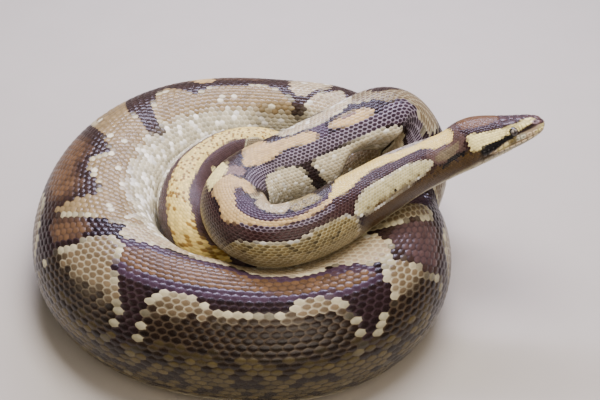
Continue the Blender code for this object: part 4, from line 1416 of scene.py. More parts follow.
def mesh_object(name: str, points: Rows, faces: Rows, colours: Rows, finish: bpy.types.Material,
                uv: Rows) -> bpy.types.Object:
    """Make a smooth object from rows of points and triangles, and report it.

    Args:
        name: the piece's name.
        points: the points, in millimetres.
        faces: rows of point numbers, all of one length.
        colours: a linear colour for each point.
        finish: the material.
        uv: a place on the unrolled skin for each point, or for each corner of each face.

    Returns:
        The object, linked to the scene.
    """
    mesh = bpy.data.meshes.new(name)
    count, corners = faces.shape
    mesh.vertices.add(len(points))
    mesh.vertices.foreach_set("co", (points * MM).astype(np.float32).ravel())
    mesh.loops.add(count * corners)
    mesh.loops.foreach_set("vertex_index", faces.astype(np.int32).ravel())
    mesh.polygons.add(count)
    mesh.polygons.foreach_set("loop_start", (np.arange(count) * corners).astype(np.int32))
    mesh.update(calc_edges=True)
    mesh.polygons.foreach_set("use_smooth", np.ones(count, bool))
    layer = mesh.color_attributes.new("Pattern", "FLOAT_COLOR", "POINT")
    opaque = np.concatenate([colours, np.ones((len(points), 1))], axis=1)
    layer.data.foreach_set("color", opaque.astype(np.float32).ravel())
    places = uv if len(uv) == faces.size else uv[faces.ravel()]
    mesh.uv_layers.new(name="OFBake").data.foreach_set("uv", places.astype(np.float32).ravel())
    mesh.materials.append(finish)
    thing = bpy.data.objects.new(name, mesh)
    bpy.context.scene.collection.objects.link(thing)
    log.info("%s: %d faces", name, count)
    return thing


@dataclass
class Unroll:
    """Where each place of one stretch of skin lies when the stretch is unrolled and folded in strips."""

    first: float
    last: float
    girth: float
    gap: float = 0.004           # the margin of a strip, for places
    row_gap: float = 0.01        # and for the corners of faces, along the strip
    turn_gap: float = 0.02       # and across it

    @property
    def length(self) -> float:
        """Length of the stretch."""
        return self.last - self.first

    @property
    def strips(self) -> int:
        """The number of strips that makes the whole about as wide as long."""
        return max(1, round(math.sqrt(self.length / (2 * math.pi * self.girth))))

    def place(self, back: Rows, turn: Rows) -> Rows:
        """Places on the unrolled skin, each number from zero to one.

        Args:
            back: distances from the snout.
            turn: angles in degrees.

        Returns:
            Two numbers for each place.
        """
        run = np.clip((back - self.first) / self.length, 0, 0.99999) * self.strips
        strip = np.floor(run)
        across = np.clip(((np.asarray(turn) + 180) % 360) / 360, self.gap, 1 - self.gap)
        along = self.gap + (1 - 2 * self.gap) * (run - strip)
        return np.stack([along, (strip + across) / self.strips], axis=1)

    def corners(self, back: Rows, turn: Rows, faces: Rows) -> Rows:
        """A place for each corner of each face, so that no face is torn between two strips.

        Args:
            back: each point's distance from the snout.
            turn: its angle, counted the nearer way round from a face's middle corner.
            faces: rows of three point numbers.

        Returns:
            Two numbers for each corner.
        """
        run = (back[faces] - self.first) / self.length * self.strips
        strip = np.clip(np.floor(run.mean(axis=1, keepdims=True)), 0, self.strips - 1)
        angle = turn[faces]
        angle = angle[:, 1:2] + (angle - angle[:, 1:2] + 180) % 360 - 180
        angle -= 360 * np.floor((angle.mean(axis=1, keepdims=True) + 180) / 360)
        across = self.turn_gap + (1 - 2 * self.turn_gap) * (angle + 180) / 360
        along = self.row_gap + (1 - 2 * self.row_gap) * (run - strip)
        return np.stack([along, (strip + across) / self.strips], axis=-1).reshape(-1, 2)


@dataclass
class ScaleShape:
    """The form of one scale, as rings of points round its middle.

    Its root is sunk in the skin and its free end stands off it, over the root of the next.
    """

    sides: int = 10
    inner: float = 0.58          # the inner ring, as a share of the outline
    power: float = 1.5           # 2 is an ellipse, 1 a rhomb
    root_height: float = -0.12   # heights as a share of the coat's depth
    tip_height: float = 0.26
    dome: float = 0.50
    under: float = -0.35         # the point that closes the underside
    under_back: float = 0.1      # and how far back it is, as a share of the half length

    def __post_init__(self) -> None:
        """Work out the points and triangles of one scale."""
        angle = np.arange(self.sides) * 2 * math.pi / self.sides
        rim = np.stack([np.cos(angle), np.sin(angle)], axis=1)
        rim = np.sign(rim) * np.abs(rim) ** (2 / self.power)
        self.flat = np.concatenate([[[0, 0]], rim * self.inner, rim, [[self.under_back, 0]]])
        out = np.concatenate([[0], np.full(self.sides, self.inner), np.ones(self.sides)])
        base = self.root_height + (self.tip_height - self.root_height) * (self.flat[:-1, 0] + 1) / 2
        self.height = np.append(base + self.dome * (1 - out ** 2), self.under)
        self.edge = np.append(ramp(out, self.inner, 1.0), 1.0)
        ring = 1 + np.arange(self.sides)
        self.rim_from, self.rim_to = 1 + self.sides, 1 + 2 * self.sides
        self.faces = np.concatenate([fan(0, ring), sheet(2, self.sides, first=1),
                                     fan(self.rim_to, ring[::-1] + self.sides)])


@dataclass
class Covering:
    """A piece that lies on the hide and is coloured by its markings."""

    hide: Hide
    markings: Markings


@dataclass
class Coat(Covering):
    """Lays scales on the hide and joins each stretch of them into one piece."""

    shape: ScaleShape = field(default_factory=ScaleShape)
    columns: int = 56            # long rows of scales round the body
    tail_columns: int = 30       # and round the thin end of the tail
    side_reach: float = 151.0    # the scales reach this far round; the belly shields do the rest
    narrow: float = 0.10         # how much closer the rows are along the ridge of the back
    narrow_reach: float = 45.0
    pitch: float = 0.128         # spacing along the body, against its mean radius
    half_width: float = 0.70     # of a scale, against the spacing round the body
    half_length: float = 0.70    # of a scale, against the spacing along it
    unevenness: float = 0.05     # how much the sizes of scales vary
    first_scale: float = 25.0    # the small scales of the head start here
    tail_starts: float = 1298.0
    lips_end: float = 45.5       # the lip shields reach this far back
    lips_reach: tuple[float, float] = (82.0, 122.0)
    plates_end: float = 27.0     # the plates of the crown reach this far back
    plates_reach: float = 50.0   # and this far round
    eye_clear: float = 4.6       # no scale has its middle this near to the middle of an eye

    def lattice(self) -> tuple[Rows, ...]:
        """Lay out all scales.

        Returns:
            For each scale its distance back, angle, half length in millimetres and half
            width in degrees.
        """
        found = []
        for first, last, columns in ((self.first_scale, self.tail_starts, self.columns),
                                     (self.tail_starts, self.hide.body.length - 1.5, self.tail_columns)):
            fine = np.linspace(first, last, 6000)
            pitch = self.pitch * self.hide.girth(fine) * self.columns / columns
            row = np.concatenate([[0], np.cumsum(np.diff(fine) / pitch[1:])])
            for column, (middle, spacing) in enumerate(self.column_angles(columns)):
                numbers = np.arange(0.5 * (column % 2), row[-1], 1.0)
                back = np.interp(numbers, row, fine)
                half = self.half_length * np.interp(back, fine, pitch)
                even = np.ones(len(back))
                found.append(np.stack([back, middle * even, half, self.half_width * spacing * even], axis=1))
        scales = np.concatenate(found)
        return tuple(scales[self.off_the_plates(scales)].T)

    def column_angles(self, columns: int) -> list[tuple[float, float]]:
        """The middle angle and the width of each long row, narrower along the ridge of the back.

        Args:
            columns: how many long rows there are.

        Returns:
            Both for each row, in degrees.
        """
        turn = np.linspace(-self.side_reach, self.side_reach, 2001)
        crowd = 1 / (1 - self.narrow * hill(turn, self.narrow_reach))
        run = np.concatenate([[0], np.cumsum((crowd[1:] + crowd[:-1]) / 2)])
        ends = np.interp(np.linspace(0, run[-1], columns + 1), run, turn)
        return [((a + b) / 2, b - a) for a, b in zip(ends, ends[1:])]

    def off_the_plates(self, scales: Rows) -> Rows:
        """True for scales that don't lie under a head plate, a lip shield or an eye.

        Args:
            scales: a row for each scale, which starts with its distance back and its angle.

        Returns:
            One truth value for each scale.
        """
        back, turn = scales[:, 0], np.abs(scales[:, 1])
        lips = (back < self.lips_end) & (turn > self.lips_reach[0]) & (turn < self.lips_reach[1])
        eye = np.hypot(back - self.hide.eye_back, (turn - EYE_ANGLE) * HEAD_DEGREE) < self.eye_clear
        plates = (back < self.plates_end) & (turn < self.plates_reach)
        return ~(lips | eye | plates)

    def build(self, name: str, first: float, last: float, finish: bpy.types.Material,
              scales: tuple[Rows, ...], seed: int) -> bpy.types.Object:
        """Build one stretch of scales as one piece.

        Args:
            name: the piece's name.
            first: where the stretch starts.
            last: where it ends.
            finish: its material.
            scales: all scales, as lattice gives them.
            seed: for the small differences between scales.

        Returns:
            The piece.
        """
        here = (scales[0] >= first) & (scales[0] < last)
        back, turn, half, width = (part[here] for part in scales)
        chance = np.random.default_rng(seed)
        jitter = 1 + self.unevenness * chance.standard_normal((2, len(back)))
        shape, each = self.shape, len(self.shape.flat)
        along = back[:, None] + shape.flat[None, :, 0] * (half * jitter[0])[:, None]
        around = turn[:, None] + shape.flat[None, :, 1] * (width * jitter[1])[:, None]
        lift = shape.height[None, :] * self.hide.coat_depth(back)[:, None]
        points = self.hide.spot(along.ravel(), around.ravel(), lift.ravel())
        fill, rim = self.markings.colours(back, turn, seed + 1)
        edge = shape.edge[None, :, None]
        colours = (fill[:, None, :] * (1 - edge) + rim[:, None, :] * edge).reshape(-1, 3)
        roots = Unroll(first, last, float(self.hide.girth((first + last) / 2))).place(back, turn)
        uv = (roots[:, None, :] + UV_SCALE * shape.flat[None, :, :]).reshape(-1, 2)
        log.info("%s: %d scales", name, len(back))
        piece = mesh_object(name, points, repeated(shape.faces, each, len(back)), colours, finish, uv)
        self.crisp_rims(piece.data, each)
        return piece

    def crisp_rims(self, mesh: bpy.types.Mesh, each: int) -> None:
        """Shade the top and the underside of each scale apart, with a sharp rim between.

        Args:
            mesh: the mesh of one stretch.
            each: how many points a scale has.
        """
        ends = np.empty(len(mesh.edges) * 2, np.int32)
        mesh.edges.foreach_get("vertices", ends)
        local = ends.reshape(-1, 2) % each
        rim = np.all((local >= self.shape.rim_from) & (local < self.shape.rim_to), axis=1)
        layer = mesh.attributes.new("sharp_edge", "BOOLEAN", "EDGE")
        layer.data.foreach_set("value", rim)


@dataclass
class SkinPiece(Covering):
    """The one closed skin under all the scales."""

    sectors: int = 96
    head_step: float = 0.8
    trunk_step: float = 2.4
    head_end: float = 66.0
    nose_rows: tuple[float, ...] = (0.3, 0.7)
    head_start: float = 1.2
    tail_short: float = 0.4      # how far before the end the last ring lies
    nose_cap: float = 0.1        # the closing points stand this far out, in millimetres
    tail_cap: float = 0.5
    shade: float = 0.62          # the skin between the scales is darker than they are
    mean_girth: float = 26.0

    def build(self, finish: bpy.types.Material) -> bpy.types.Object:
        """Build the skin.

        Args:
            finish: its material.

        Returns:
            The piece.
        """
        body, m = self.hide.body, self.sectors
        head = np.arange(self.head_start, self.head_end, self.head_step)
        trunk = np.arange(self.head_end, body.length - 1.0, self.trunk_step)
        back = np.concatenate([self.nose_rows, head, trunk, [body.length - self.tail_short]])
        turn = np.arange(m) * 360.0 / m
        grid_back, grid_turn = (grid.ravel() for grid in np.meshgrid(back, turn, indexing="ij"))
        points = self.hide.spot(grid_back, grid_turn, np.zeros(len(grid_back)))
        centre, forward = body.at([0.3, body.length - 0.3])[:2]
        points = np.concatenate([points, centre[:1] - forward[:1] * self.nose_cap,
                                 centre[1:] + forward[1:] * self.tail_cap])
        fill, rim = self.markings.colours(grid_back, grid_turn)
        colours = (0.5 * fill + 0.5 * rim) * self.shade
        colours = np.concatenate([colours, colours[[0, -1]]])
        tip, ring = len(grid_back), np.arange(m)
        last_ring = tip - m + ring
        faces = np.concatenate([sheet(len(back), m), fan(tip, ring), fan(tip + 1, last_ring[::-1])])
        faces = outward(points, faces)
        grid_back = np.append(grid_back, [-0.6, body.length + 0.6])
        grid_turn = np.append(grid_turn, [0.0, 0.0])
        places = Unroll(-1, body.length + 1, self.mean_girth).corners(grid_back, grid_turn, faces)
        return mesh_object("skin", points, faces, colours, finish, places)


@dataclass
class Shields(Covering):
    """The broad shields under the belly and the paired ones under the tail."""

    count: int = 205
    first: float = 52.0
    vent: float = 1208.0
    tail_pairs: int = 31
    half_angle: float = 35.0
    seam: float = 0.4            # how far the paired shields lap over the middle line, in degrees
    across: int = 12
    lap: float = 1.28            # length of a shield against its spacing
    bow: float = 0.10            # how far its ends stand ahead of its middle
    end_power: int = 6           # how late its height falls towards its ends
    end_height: float = -0.2     # and to what share of the coat's depth
    mean_girth: float = 26.0
    # along a shield: the place, its height as a share of the coat's depth, the share of rim colour
    profile: tuple[tuple[float, float, float], ...] = (
        (-1.0, -0.16, 0.2), (-0.35, 0.30, 0.0), (0.45, 0.60, 0.1), (0.86, 0.66, 0.5), (1.0, 0.42, 1.0))

    def spaced(self, first: float, last: float, count: int, samples: int) -> list[tuple[float, float]]:
        """Middle and half length of each shield in a row, longer where the body is thicker.

        Args:
            first: where the row starts.
            last: where it ends.
            count: how many shields it has.
            samples: how finely the body is read.

        Returns:
            Both for each shield.
        """
        fine = np.linspace(first, last, samples)
        run = np.concatenate([[0], np.cumsum(np.diff(fine) / np.sqrt(self.hide.girth(fine[1:])))])
        ends = np.interp(np.linspace(0, run[-1], count + 1), run, fine)
        return [((a + b) / 2, (b - a) / 2 * self.lap) for a, b in zip(ends, ends[1:])]

    def rows(self) -> list[tuple[float, float, float, float]]:
        """Each shield: its middle, half length, and the angles where it starts and ends.

        Returns:
            Four numbers for each shield.
        """
        low, high = 180 - self.half_angle, 180 + self.half_angle
        vent, *tail = self.spaced(self.vent, self.hide.body.length - 3, self.tail_pairs, 2000)
        belly = [*self.spaced(self.first, self.vent, self.count, 4000), vent]
        found = [(*shield, low, high) for shield in belly]
        for shield in tail:
            found += [(*shield, low, 180 + self.seam), (*shield, 180 - self.seam, high)]
        return found

    def faces(self) -> Rows:
        """Triangles of one shield, closed below and at its ends.

        Returns:
            Rows of three point numbers.
        """
        rows, m = len(self.profile), self.across + 1
        lip = np.concatenate([np.arange(m), (rows - 1) * m + np.arange(m)])
        inner = np.arange(1, rows - 1)
        start, end = np.zeros(len(inner), int), np.full(len(inner), m - 1)
        return np.concatenate([sheet(rows, m, closed=False), lip[sheet(2, m, closed=False)][:, ::-1],
                               np.stack([start, (inner + 1) * m, inner * m], axis=1),
                               np.stack([end, inner * m + end, (inner + 1) * m + end], axis=1)])

    def build(self, finish: bpy.types.Material) -> bpy.types.Object:
        """Build all shields as one piece.

        Args:
            finish: their material.

        Returns:
            The piece.
        """
        lengthwise, heights, edges = np.array(self.profile).T
        m, shields = self.across + 1, self.rows()
        share = np.linspace(-1, 1, m)
        full = (1 - np.abs(share) ** self.end_power)[None, :]
        edge = np.repeat(edges, m)[:, None]
        offsets = np.stack([np.repeat(lengthwise, m), np.tile(share, len(lengthwise))], axis=1)
        unroll = Unroll(0, self.hide.body.length, self.mean_girth)
        points, colours, uv = [], [], []
        for middle, half, low, high in shields:
            back = middle + half * lengthwise[:, None] - self.bow * half * (share ** 2)[None, :]
            turn = np.broadcast_to(low + (high - low) * (share[None, :] + 1) / 2, back.shape)
            lift = heights[:, None] * full + self.end_height * (1 - full)
            lift = lift * self.hide.coat_depth(np.array([middle]))[0]
            points.append(self.hide.spot(back.ravel(), turn.ravel(), lift.ravel()))
            fill, rim = self.markings.colours(back.ravel(), turn.ravel())
            colours.append(fill * (1 - edge) + rim * edge)
            root = unroll.place(np.array([middle]), np.array([(low + high) / 2]))
            uv.append(root + UV_SCALE * offsets)
        faces = repeated(self.faces(), len(offsets), len(shields))
        return mesh_object("belly_shields", np.concatenate(points), faces, np.concatenate(colours), finish,
                           np.concatenate(uv))


# The plates of the head on one side, as corners on the unrolled head.  The other side has the
# same, with a narrow gap along the middle line.
PLATES = (
    ("internasal", ((1.5, 0.8), (1.7, 30), (4.8, 33), (6.2, 20), (6.2, 0.8))),
    ("nasal front", ((2.0, 35), (2.4, 62), (4.8, 62), (5.2, 50), (5.2, 36))),
    ("nasal back", ((7.2, 34), (7.3, 50), (7.4, 62), (9.8, 60), (10.2, 42), (8.6, 32))),
    ("front prefrontal", ((6.6, 0.8), (6.6, 20), (8.0, 29), (10.6, 38), (12.6, 32), (13.0, 15), (12.6, 0.8))),
    ("rear prefrontal", ((13.2, 0.8), (13.5, 15), (13.2, 33), (16.6, 34), (17.4, 18), (16.8, 0.8))),
    ("loreal front", ((10.4, 46), (9.8, 64), (12.4, 68), (13.0, 42))),
    ("loreal middle", ((13.3, 42), (12.8, 68), (15.4, 71), (15.8, 42))),
    ("loreal rear", ((16.1, 42), (15.8, 72), (17.2, 74), (17.4, 46))),
    ("brow plate", ((16.8, 34), (18.4, 43), (21.0, 47), (24.5, 46), (26.5, 42), (26.0, 31), (21.0, 27),
                    (17.8, 22))),
    ("frontal front", ((17.4, 0.8), (17.9, 19), (21.0, 24), (21.4, 0.8))),
    ("frontal rear", ((21.8, 0.8), (21.4, 24), (26.0, 28), (26.6, 14), (26.4, 0.8))),
)
EYE_ANGLE = 68.0
HEAD_DEGREE = 0.20               # about the length of a degree on the head, in millimetres
UV_SCALE = 0.0015                # the size of a scale or shield on the unrolled skin


@dataclass(frozen=True)
class Section:
    """The section of a plate, with heights as shares of the depth of the head's coat."""

    heights: tuple[float, float, float]      # of its three rings of points, from the outline inward
    middle: float
    brightness: float = 1.0                  # of the middle


CUSHION = Section((-0.25, 0.62, 0.82), 0.86)
# A pitted shield's sunk middle is painted nearly black: painted shade in the heat pit.
PITTED = Section((-0.25, 0.66, 0.55), -1.6, 0.12)


@dataclass
class HeadPlates(Covering):
    """The larger plates of the head: snout, brow, lips and the ring round each eye."""

    corner: float = 0.20
    lip_shields: int = 11
    lip_first: float = 2.2
    lip_last: float = 44.0
    lip_gap: float = 0.14
    mouth_line: float = 104.0
    upper_lip: float = 20.0      # angle taken by the upper lip shields
    lower_lip: float = 15.0
    pits: int = 5                # the first upper shields each have a heat pit
    ring_scales: int = 13
    ring_inner: float = 2.75     # radii of the ring of scales round an eye
    ring_outer: float = 4.1
    ring_fill: float = 0.9       # how much of the ring they take up; the rest is gaps
    shrink: tuple[float, float, float] = (1.0, 0.86, 0.45)      # a plate's rings, against its outline
    rim_share: tuple[float, float, float] = (1.0, 0.25, 0.0)    # how much rim colour each ring has
    rim_shade: tuple[float, float, float] = (0.62, 1.0, 1.0)    # and its brightness
    under: float = -0.6          # height of the point that closes a plate below, and its brightness
    under_shade: float = 0.6
    mean_girth: float = 13.0
    uv_size: float = 0.003

    def outlines(self) -> list[tuple[Rows, bool]]:
        """Outlines of all plates, each with whether it has a heat pit."""
        found = [(np.array(corners) * (1, side), False) for _name, corners in PLATES for side in (1, -1)]
        return found + self.rostral() + self.lips() + self.eye_rings()

    def rostral(self) -> list[tuple[Rows, bool]]:
        """The shields on the very tip: one above the mouth and one below it.

        Returns:
            Outlines, none with a pit.
        """
        above = [(1.3, turn) for turn in (-92, -66, -33, 0, 33, 66, 92)]
        above += [(0.35, turn) for turn in (70, 30, 0, -30, -70)]
        below = [(1.4, turn) for turn in (122, 150, 180, 210, 238)]
        below += [(0.4, turn) for turn in (220, 180, 140)]
        return [(np.array(above, float), False), (np.array(below, float), False)]

    def lips(self) -> list[tuple[Rows, bool]]:
        """The shields along the upper and the lower lip on both sides.

        Returns:
            Outlines, each with whether it has a heat pit.
        """
        found = []
        share = np.linspace(0, 1, self.lip_shields + 1) ** 0.94
        ends = self.lip_first + (self.lip_last - self.lip_first) * share
        for side in (1, -1):
            for k, (start, end) in enumerate(zip(ends, ends[1:])):
                a, b = start + self.lip_gap, end - self.lip_gap
                line = self.mouth_line + 9 * float(ramp(start, 9, 1))
                top = line - self.upper_lip - 5 * float(ramp(start, 12, 2))
                low = line + self.lower_lip
                upper = [(a, line - 1), (b, line - 1), (b, top), (a, top)]
                lower = [(a, line + 2), (b, line + 2), (b, low), (a, low)]
                found.append((np.array(upper) * (1, side), k < self.pits))
                found.append((np.array(lower) * (1, side), False))
        return found

    def eye_rings(self) -> list[tuple[Rows, bool]]:
        """Small scales in a ring round each eye.

        Returns:
            Outlines, none with a pit.
        """
        found = []
        degree = math.radians(1) * float(self.hide.girth(self.hide.eye_back))
        reach = math.pi / self.ring_scales * self.ring_fill
        frame_of_scale = ((-reach, self.ring_inner), (reach, self.ring_inner),
                          (reach, self.ring_outer), (-reach, self.ring_outer))
        for side in (1, -1):
            for k in range(self.ring_scales):
                middle = 2 * math.pi * (k + 0.5) / self.ring_scales
                corners = [(self.hide.eye_back + radius * math.cos(middle + angle),
                            side * (EYE_ANGLE + radius * math.sin(middle + angle) / degree))
                           for angle, radius in frame_of_scale]
                found.append((np.array(corners), False))
        return found

    def plate(self, corners: Rows, pit: bool, unroll: Unroll) -> tuple[Rows, Rows, Rows, Rows]:
        """Make one plate: a low cushion, or a shield round a pit.

        Args:
            corners: its outline on the unrolled head.
            pit: whether it has a heat pit.
            unroll: where places of the head lie on its unrolled skin.

        Returns:
            Points, triangles, colours and places on the unrolled skin.
        """
        line = rounded(corners, self.corner)
        m, middle = len(line), line.mean(axis=0)
        section = PITTED if pit else CUSHION
        rings = [middle + (line - middle) * share for share in self.shrink]
        flat = np.concatenate([*rings, [middle], [middle]])
        lift = np.append(np.repeat(section.heights, m), [section.middle, self.under]) * self.hide.coat_head
        points = self.hide.spot(flat[:, 0], flat[:, 1], lift)
        fill, rim = self.markings.colours(flat[:, 0], flat[:, 1])
        edge = np.append(np.repeat(self.rim_share, m), [0, 1])[:, None]
        shade = np.append(np.repeat(self.rim_shade, m), [section.brightness, self.under_shade])[:, None]
        ring = np.arange(m)
        faces = np.concatenate([sheet(3, m)[:, ::-1], fan(3 * m, 2 * m + ring),
                                fan(3 * m + 1, ring[::-1])])
        size = max(np.ptp(flat[:, 0]), np.ptp(flat[:, 1]) * HEAD_DEGREE, 0.1)
        root = unroll.place(middle[:1], middle[1:])
        uv = root + self.uv_size * (flat - middle) * (1, HEAD_DEGREE) / size
        return points, outward(points, faces), (fill * (1 - edge) + rim * edge) * shade, uv

    def build(self, finish: bpy.types.Material) -> bpy.types.Object:
        """Build all plates as one piece.

        Args:
            finish: their material.

        Returns:
            The piece.
        """
        unroll = Unroll(-4, HEAD_LENGTH, self.mean_girth)
        plates = [self.plate(corners, pit, unroll) for corners, pit in self.outlines()]
        points, faces, colours, uv = zip(*plates)
        starts = np.cumsum([0] + [len(part) for part in points[:-1]])
        faces = np.concatenate([part + start for part, start in zip(faces, starts)])
        return mesh_object("head_plates", np.concatenate(points), faces, np.concatenate(colours), finish,
                           np.concatenate(uv))


@dataclass
class Eye:
    """One eye: a globe with iris and slit pupil, as wide as its socket shows."""

    hide: Hide
    name: str
    side: int
    radius: float = 3.0
    iris: float = 2.35           # radius of the coloured ring
    pupil_half_width: float = 0.36
    pupil_half_height: float = 1.75
    ahead: float = 0.22          # how far its sight leans forward
    raised: float = 0.16         # and upward
    highlight_heights: tuple[float, float] = (-0.6, 1.6)     # painted highlight: the iris lightens toward its top between these heights
    glow_radius: float = 1.3     # it is brightest this far out
    glow_reach: float = 1.2
    rim_width: float = 0.35
    pupil_edge: tuple[float, float] = (1.15, 0.85)       # soft, against the pupil's own size
    rings: int = 40
    spokes: int = 56

    def build(self, finish: bpy.types.Material) -> bpy.types.Object:
        """Build the globe, with its rings round the line of sight.

        Args:
            finish: its material.

        Returns:
            The piece.
        """
        centre, forward, side, up, wide = self.hide.body.at(np.array([self.hide.eye_back]))[:5]
        sight = unit(side[0] * self.side - forward[0] * self.ahead + up[0] * self.raised)
        high = unit(up[0] - sight * (up[0] @ sight))
        level = np.cross(sight, high)
        middle = (centre[0] + up[0] * self.hide.eye_height
                  + side[0] * self.side * (wide[0] - self.hide.eye_inset))
        polar = np.linspace(0, math.pi, self.rings + 1)[1:-1]
        spoke = np.arange(self.spokes) * 2 * math.pi / self.spokes
        x = np.append(np.outer(np.sin(polar), np.cos(spoke)), (0, 0))
        y = np.append(np.outer(np.sin(polar), np.sin(spoke)), (0, 0))
        z = np.append(np.repeat(np.cos(polar), self.spokes), (1, -1))
        points = middle + self.radius * (x[:, None] * level + y[:, None] * high + z[:, None] * sight)
        colours = self.colours(x * self.radius, y * self.radius, z)
        ring, front = np.arange(self.spokes), len(points) - 2
        faces = np.concatenate([sheet(len(polar), self.spokes), fan(front, ring),
                                fan(front + 1, front - self.spokes + ring[::-1])])
        share = np.arccos(np.clip(z, -1, 1)) / math.pi / np.maximum(np.hypot(x, y), 1e-6)
        uv = 0.5 + 0.47 * np.stack([share * x, share * y], axis=1)
        return mesh_object(self.name, points, outward(points - middle, faces), colours, finish, uv)

    def colours(self, x: Rows, y: Rows, z: Rows) -> Rows:
        """Colours of iris, pupil and the dark rest, for places across and up from the pupil.

        Args:
            x: millimetres across.
            y: millimetres up.
            z: how far forward the place is, as a share of the radius.

        Returns:
            Linear colours, as rows.
        """
        dark, iris_low, iris_highlight, black = (np.array(linear(code)) for code in
                                            ("#141112", "#3c3230", "#8b8378", "#050505"))
        out = np.hypot(x, y)
        # Painted highlight: the upper part of the iris is lighter, as the light falls from above.
        height = ramp(y, *self.highlight_heights)[:, None]
        colours = iris_low * (1 - height) + iris_highlight * height
        colours = colours * (0.75 + 0.5 * hill(out - self.glow_radius, self.glow_reach))[:, None]
        rim = ramp(out, self.iris - self.rim_width, self.iris)[:, None]
        colours = colours * (1 - rim) + dark * rim
        slit = np.hypot(x / self.pupil_half_width, y / self.pupil_half_height)
        pupil = ramp(slit, *self.pupil_edge)[:, None]
        colours = colours * (1 - pupil) + black * pupil
        return np.where((z > 0)[:, None], colours, dark)


# ---------------------------------------------------------------- the animal

# The stretches of scales: name, where each starts and the material slot it shows.
STRETCHES = (
    ("head_scales", 0.0, "head_skin"),
    ("neck_scales", 52.0, "neck_skin"),
    ("hairpin_scales", 197.0, "back_skin"),
    ("top_scales", 293.0, "back_skin"),
    ("front_scales", 428.0, "back_skin"),
    ("left_scales", 640.0, "back_skin"),
    ("rear_scales", 845.0, "back_skin"),
    ("inner_scales", 1030.0, "flank_skin"),
    ("tail_scales", 1190.0, "flank_skin"),
)


@dataclass
class Python:
    """The whole animal: skin, scales, shields, plates and eyes."""

    body: Body = field(default_factory=Body)

    def build(self) -> None:
        """Build every piece, dress it, and let it ride on the frame."""
        hide = Hide(self.body)
        markings = Markings(hide)
        scale_finish = Keratin("scale keratin").make()
        head_finish = Keratin("head plate keratin", roughness=0.30, blotch=2.0, coat=0.10).make()
        skin_finish = Keratin("skin between the scales", roughness=0.55, bump=0.12).make()
        skin = SkinPiece(hide, markings).build(skin_finish)
        flesh = [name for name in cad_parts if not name.startswith("eye")]
        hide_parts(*flesh)
        self.dress(skin, "back_skin")
        coat = Coat(hide, markings)
        scales = coat.lattice()
        ends = [row[1] for row in STRETCHES[1:]] + [self.body.length + 1]
        for k, ((name, first, slot), last) in enumerate(zip(STRETCHES, ends)):
            finish = head_finish if name == "head_scales" else scale_finish
            piece = coat.build(name, first, last, finish, scales, SCATTER_SEED + 10 * k)
            self.dress(piece, slot)
        self.dress(Shields(hide, markings).build(scale_finish), "flank_skin")
        self.dress(HeadPlates(hide, markings).build(head_finish), "head_skin")
        eye_finish = EyeBall("eye under its clear scale").make()
        for name, side in (("eye_left", 1), ("eye_right", -1)):
            globe = Eye(hide, name.replace("eye", "globe"), side).build(eye_finish)
            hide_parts(name)
            self.dress(globe, "eye")

    @staticmethod
    def dress(piece: bpy.types.Object, slot: str) -> None:
        """Let a piece ride on the one body."""
        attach(piece, "root")


# ---------------------------------------------------------------- floor, light and camera

@dataclass(frozen=True)
class SoftLight:
    """A square lamp aimed at the animal: place and size in millimetres, power in watts."""

    name: str
    place: tuple[float, float, float]
    size: tuple[float, float]
    power: float
    colour: str
    shines: bool = True          # whether its reflection shows

    def build(self, target: Vector) -> None:
        """Hang the lamp and turn it to the target.

        Args:
            target: the place it shines at, in metres.
        """
        lamp = bpy.data.lights.new(self.name, "AREA")
        lamp.shape = "RECTANGLE"
        lamp.size, lamp.size_y = (side * MM for side in self.size)
        lamp.energy = self.power
        lamp.color = linear(self.colour)
        thing = bpy.data.objects.new(self.name, lamp)
        thing.location = Vector(self.place) * MM
        thing.visible_glossy = self.shines
        thing.rotation_euler = (target - thing.location).to_track_quat("-Z", "Y").to_euler()
        bpy.context.scene.collection.objects.link(thing)


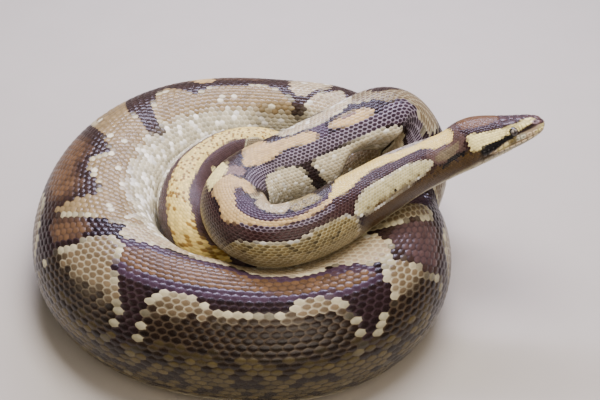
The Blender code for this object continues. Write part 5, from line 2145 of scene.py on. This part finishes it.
LIGHTS = (
    SoftLight("top light", (60, 60, 900), (700, 420), 15.0, "#f6f1f4", shines=False),
    SoftLight("ridge light", (40, 440, 560), (620, 50), 7.0, "#dcdaff"),
    SoftLight("left light", (-900, -150, 500), (500, 500), 1.0, "#fff1de"),
    SoftLight("fill light", (250, -800, 850), (900, 700), 6.2, "#fff0e0"),
)


@dataclass
class Studio:
    """A pale floor, soft lights and the camera."""

    target: tuple[float, float, float] = (10.2, 25.0, 30.0)
    distance: float = 900.0
    elevation: float = 37.0
    lens: float = 83.7           # on a film 36 mm wide
    air: str = "#e9ecf2"
    air_strength: float = 0.10
    floor_half: float = 4000.0
    floor_low: float = -0.2      # just under the animal, so that the two don't flicker

    def build(self) -> None:
        """Set up floor, lights, air and camera."""
        self.floor()
        target = Vector(self.target) * MM
        for light in LIGHTS:
            light.build(target)
        world = bpy.data.worlds.new("studio air")
        world.use_nodes = True
        back = next(part for part in world.node_tree.nodes if part.type == "BACKGROUND")
        back.inputs["Color"].default_value = (*linear(self.air), 1.0)
        back.inputs["Strength"].default_value = self.air_strength
        bpy.context.scene.world = world
        self.camera()

    def floor(self) -> None:
        """The floor, much wider than the view."""
        mesh = bpy.data.meshes.new("floor")
        corners = [(x * self.floor_half * MM, y * self.floor_half * MM, self.floor_low * MM)
                   for x, y in ((-1, -1), (1, -1), (1, 1), (-1, 1))]
        mesh.from_pydata(corners, [], [(0, 1, 2, 3)])
        mesh.materials.append(Plaster("matt floor").make())
        floor = bpy.data.objects.new("floor", mesh)
        bpy.context.scene.collection.objects.link(floor)

    def camera(self) -> None:
        """The camera, in front of the animal and above it."""
        lens = bpy.data.cameras.new("camera")
        lens.lens = self.lens
        lens.sensor_width = 36.0
        lens.clip_start, lens.clip_end = 0.05, 20.0
        thing = bpy.data.objects.new("camera", lens)
        rise = math.radians(self.elevation)
        away = Vector((0.0, -math.cos(rise), math.sin(rise))) * self.distance
        thing.location = (Vector(self.target) + away) * MM
        thing.rotation_euler = (-away).to_track_quat("-Z", "Y").to_euler()
        bpy.context.scene.collection.objects.link(thing)
        bpy.context.scene.camera = thing


def main() -> None:
    """Build the animal and the studio."""
    logging.basicConfig(level=logging.INFO, format="%(message)s")
    Python().build()
    Studio().build()


if __name__ == "__main__":
    main()
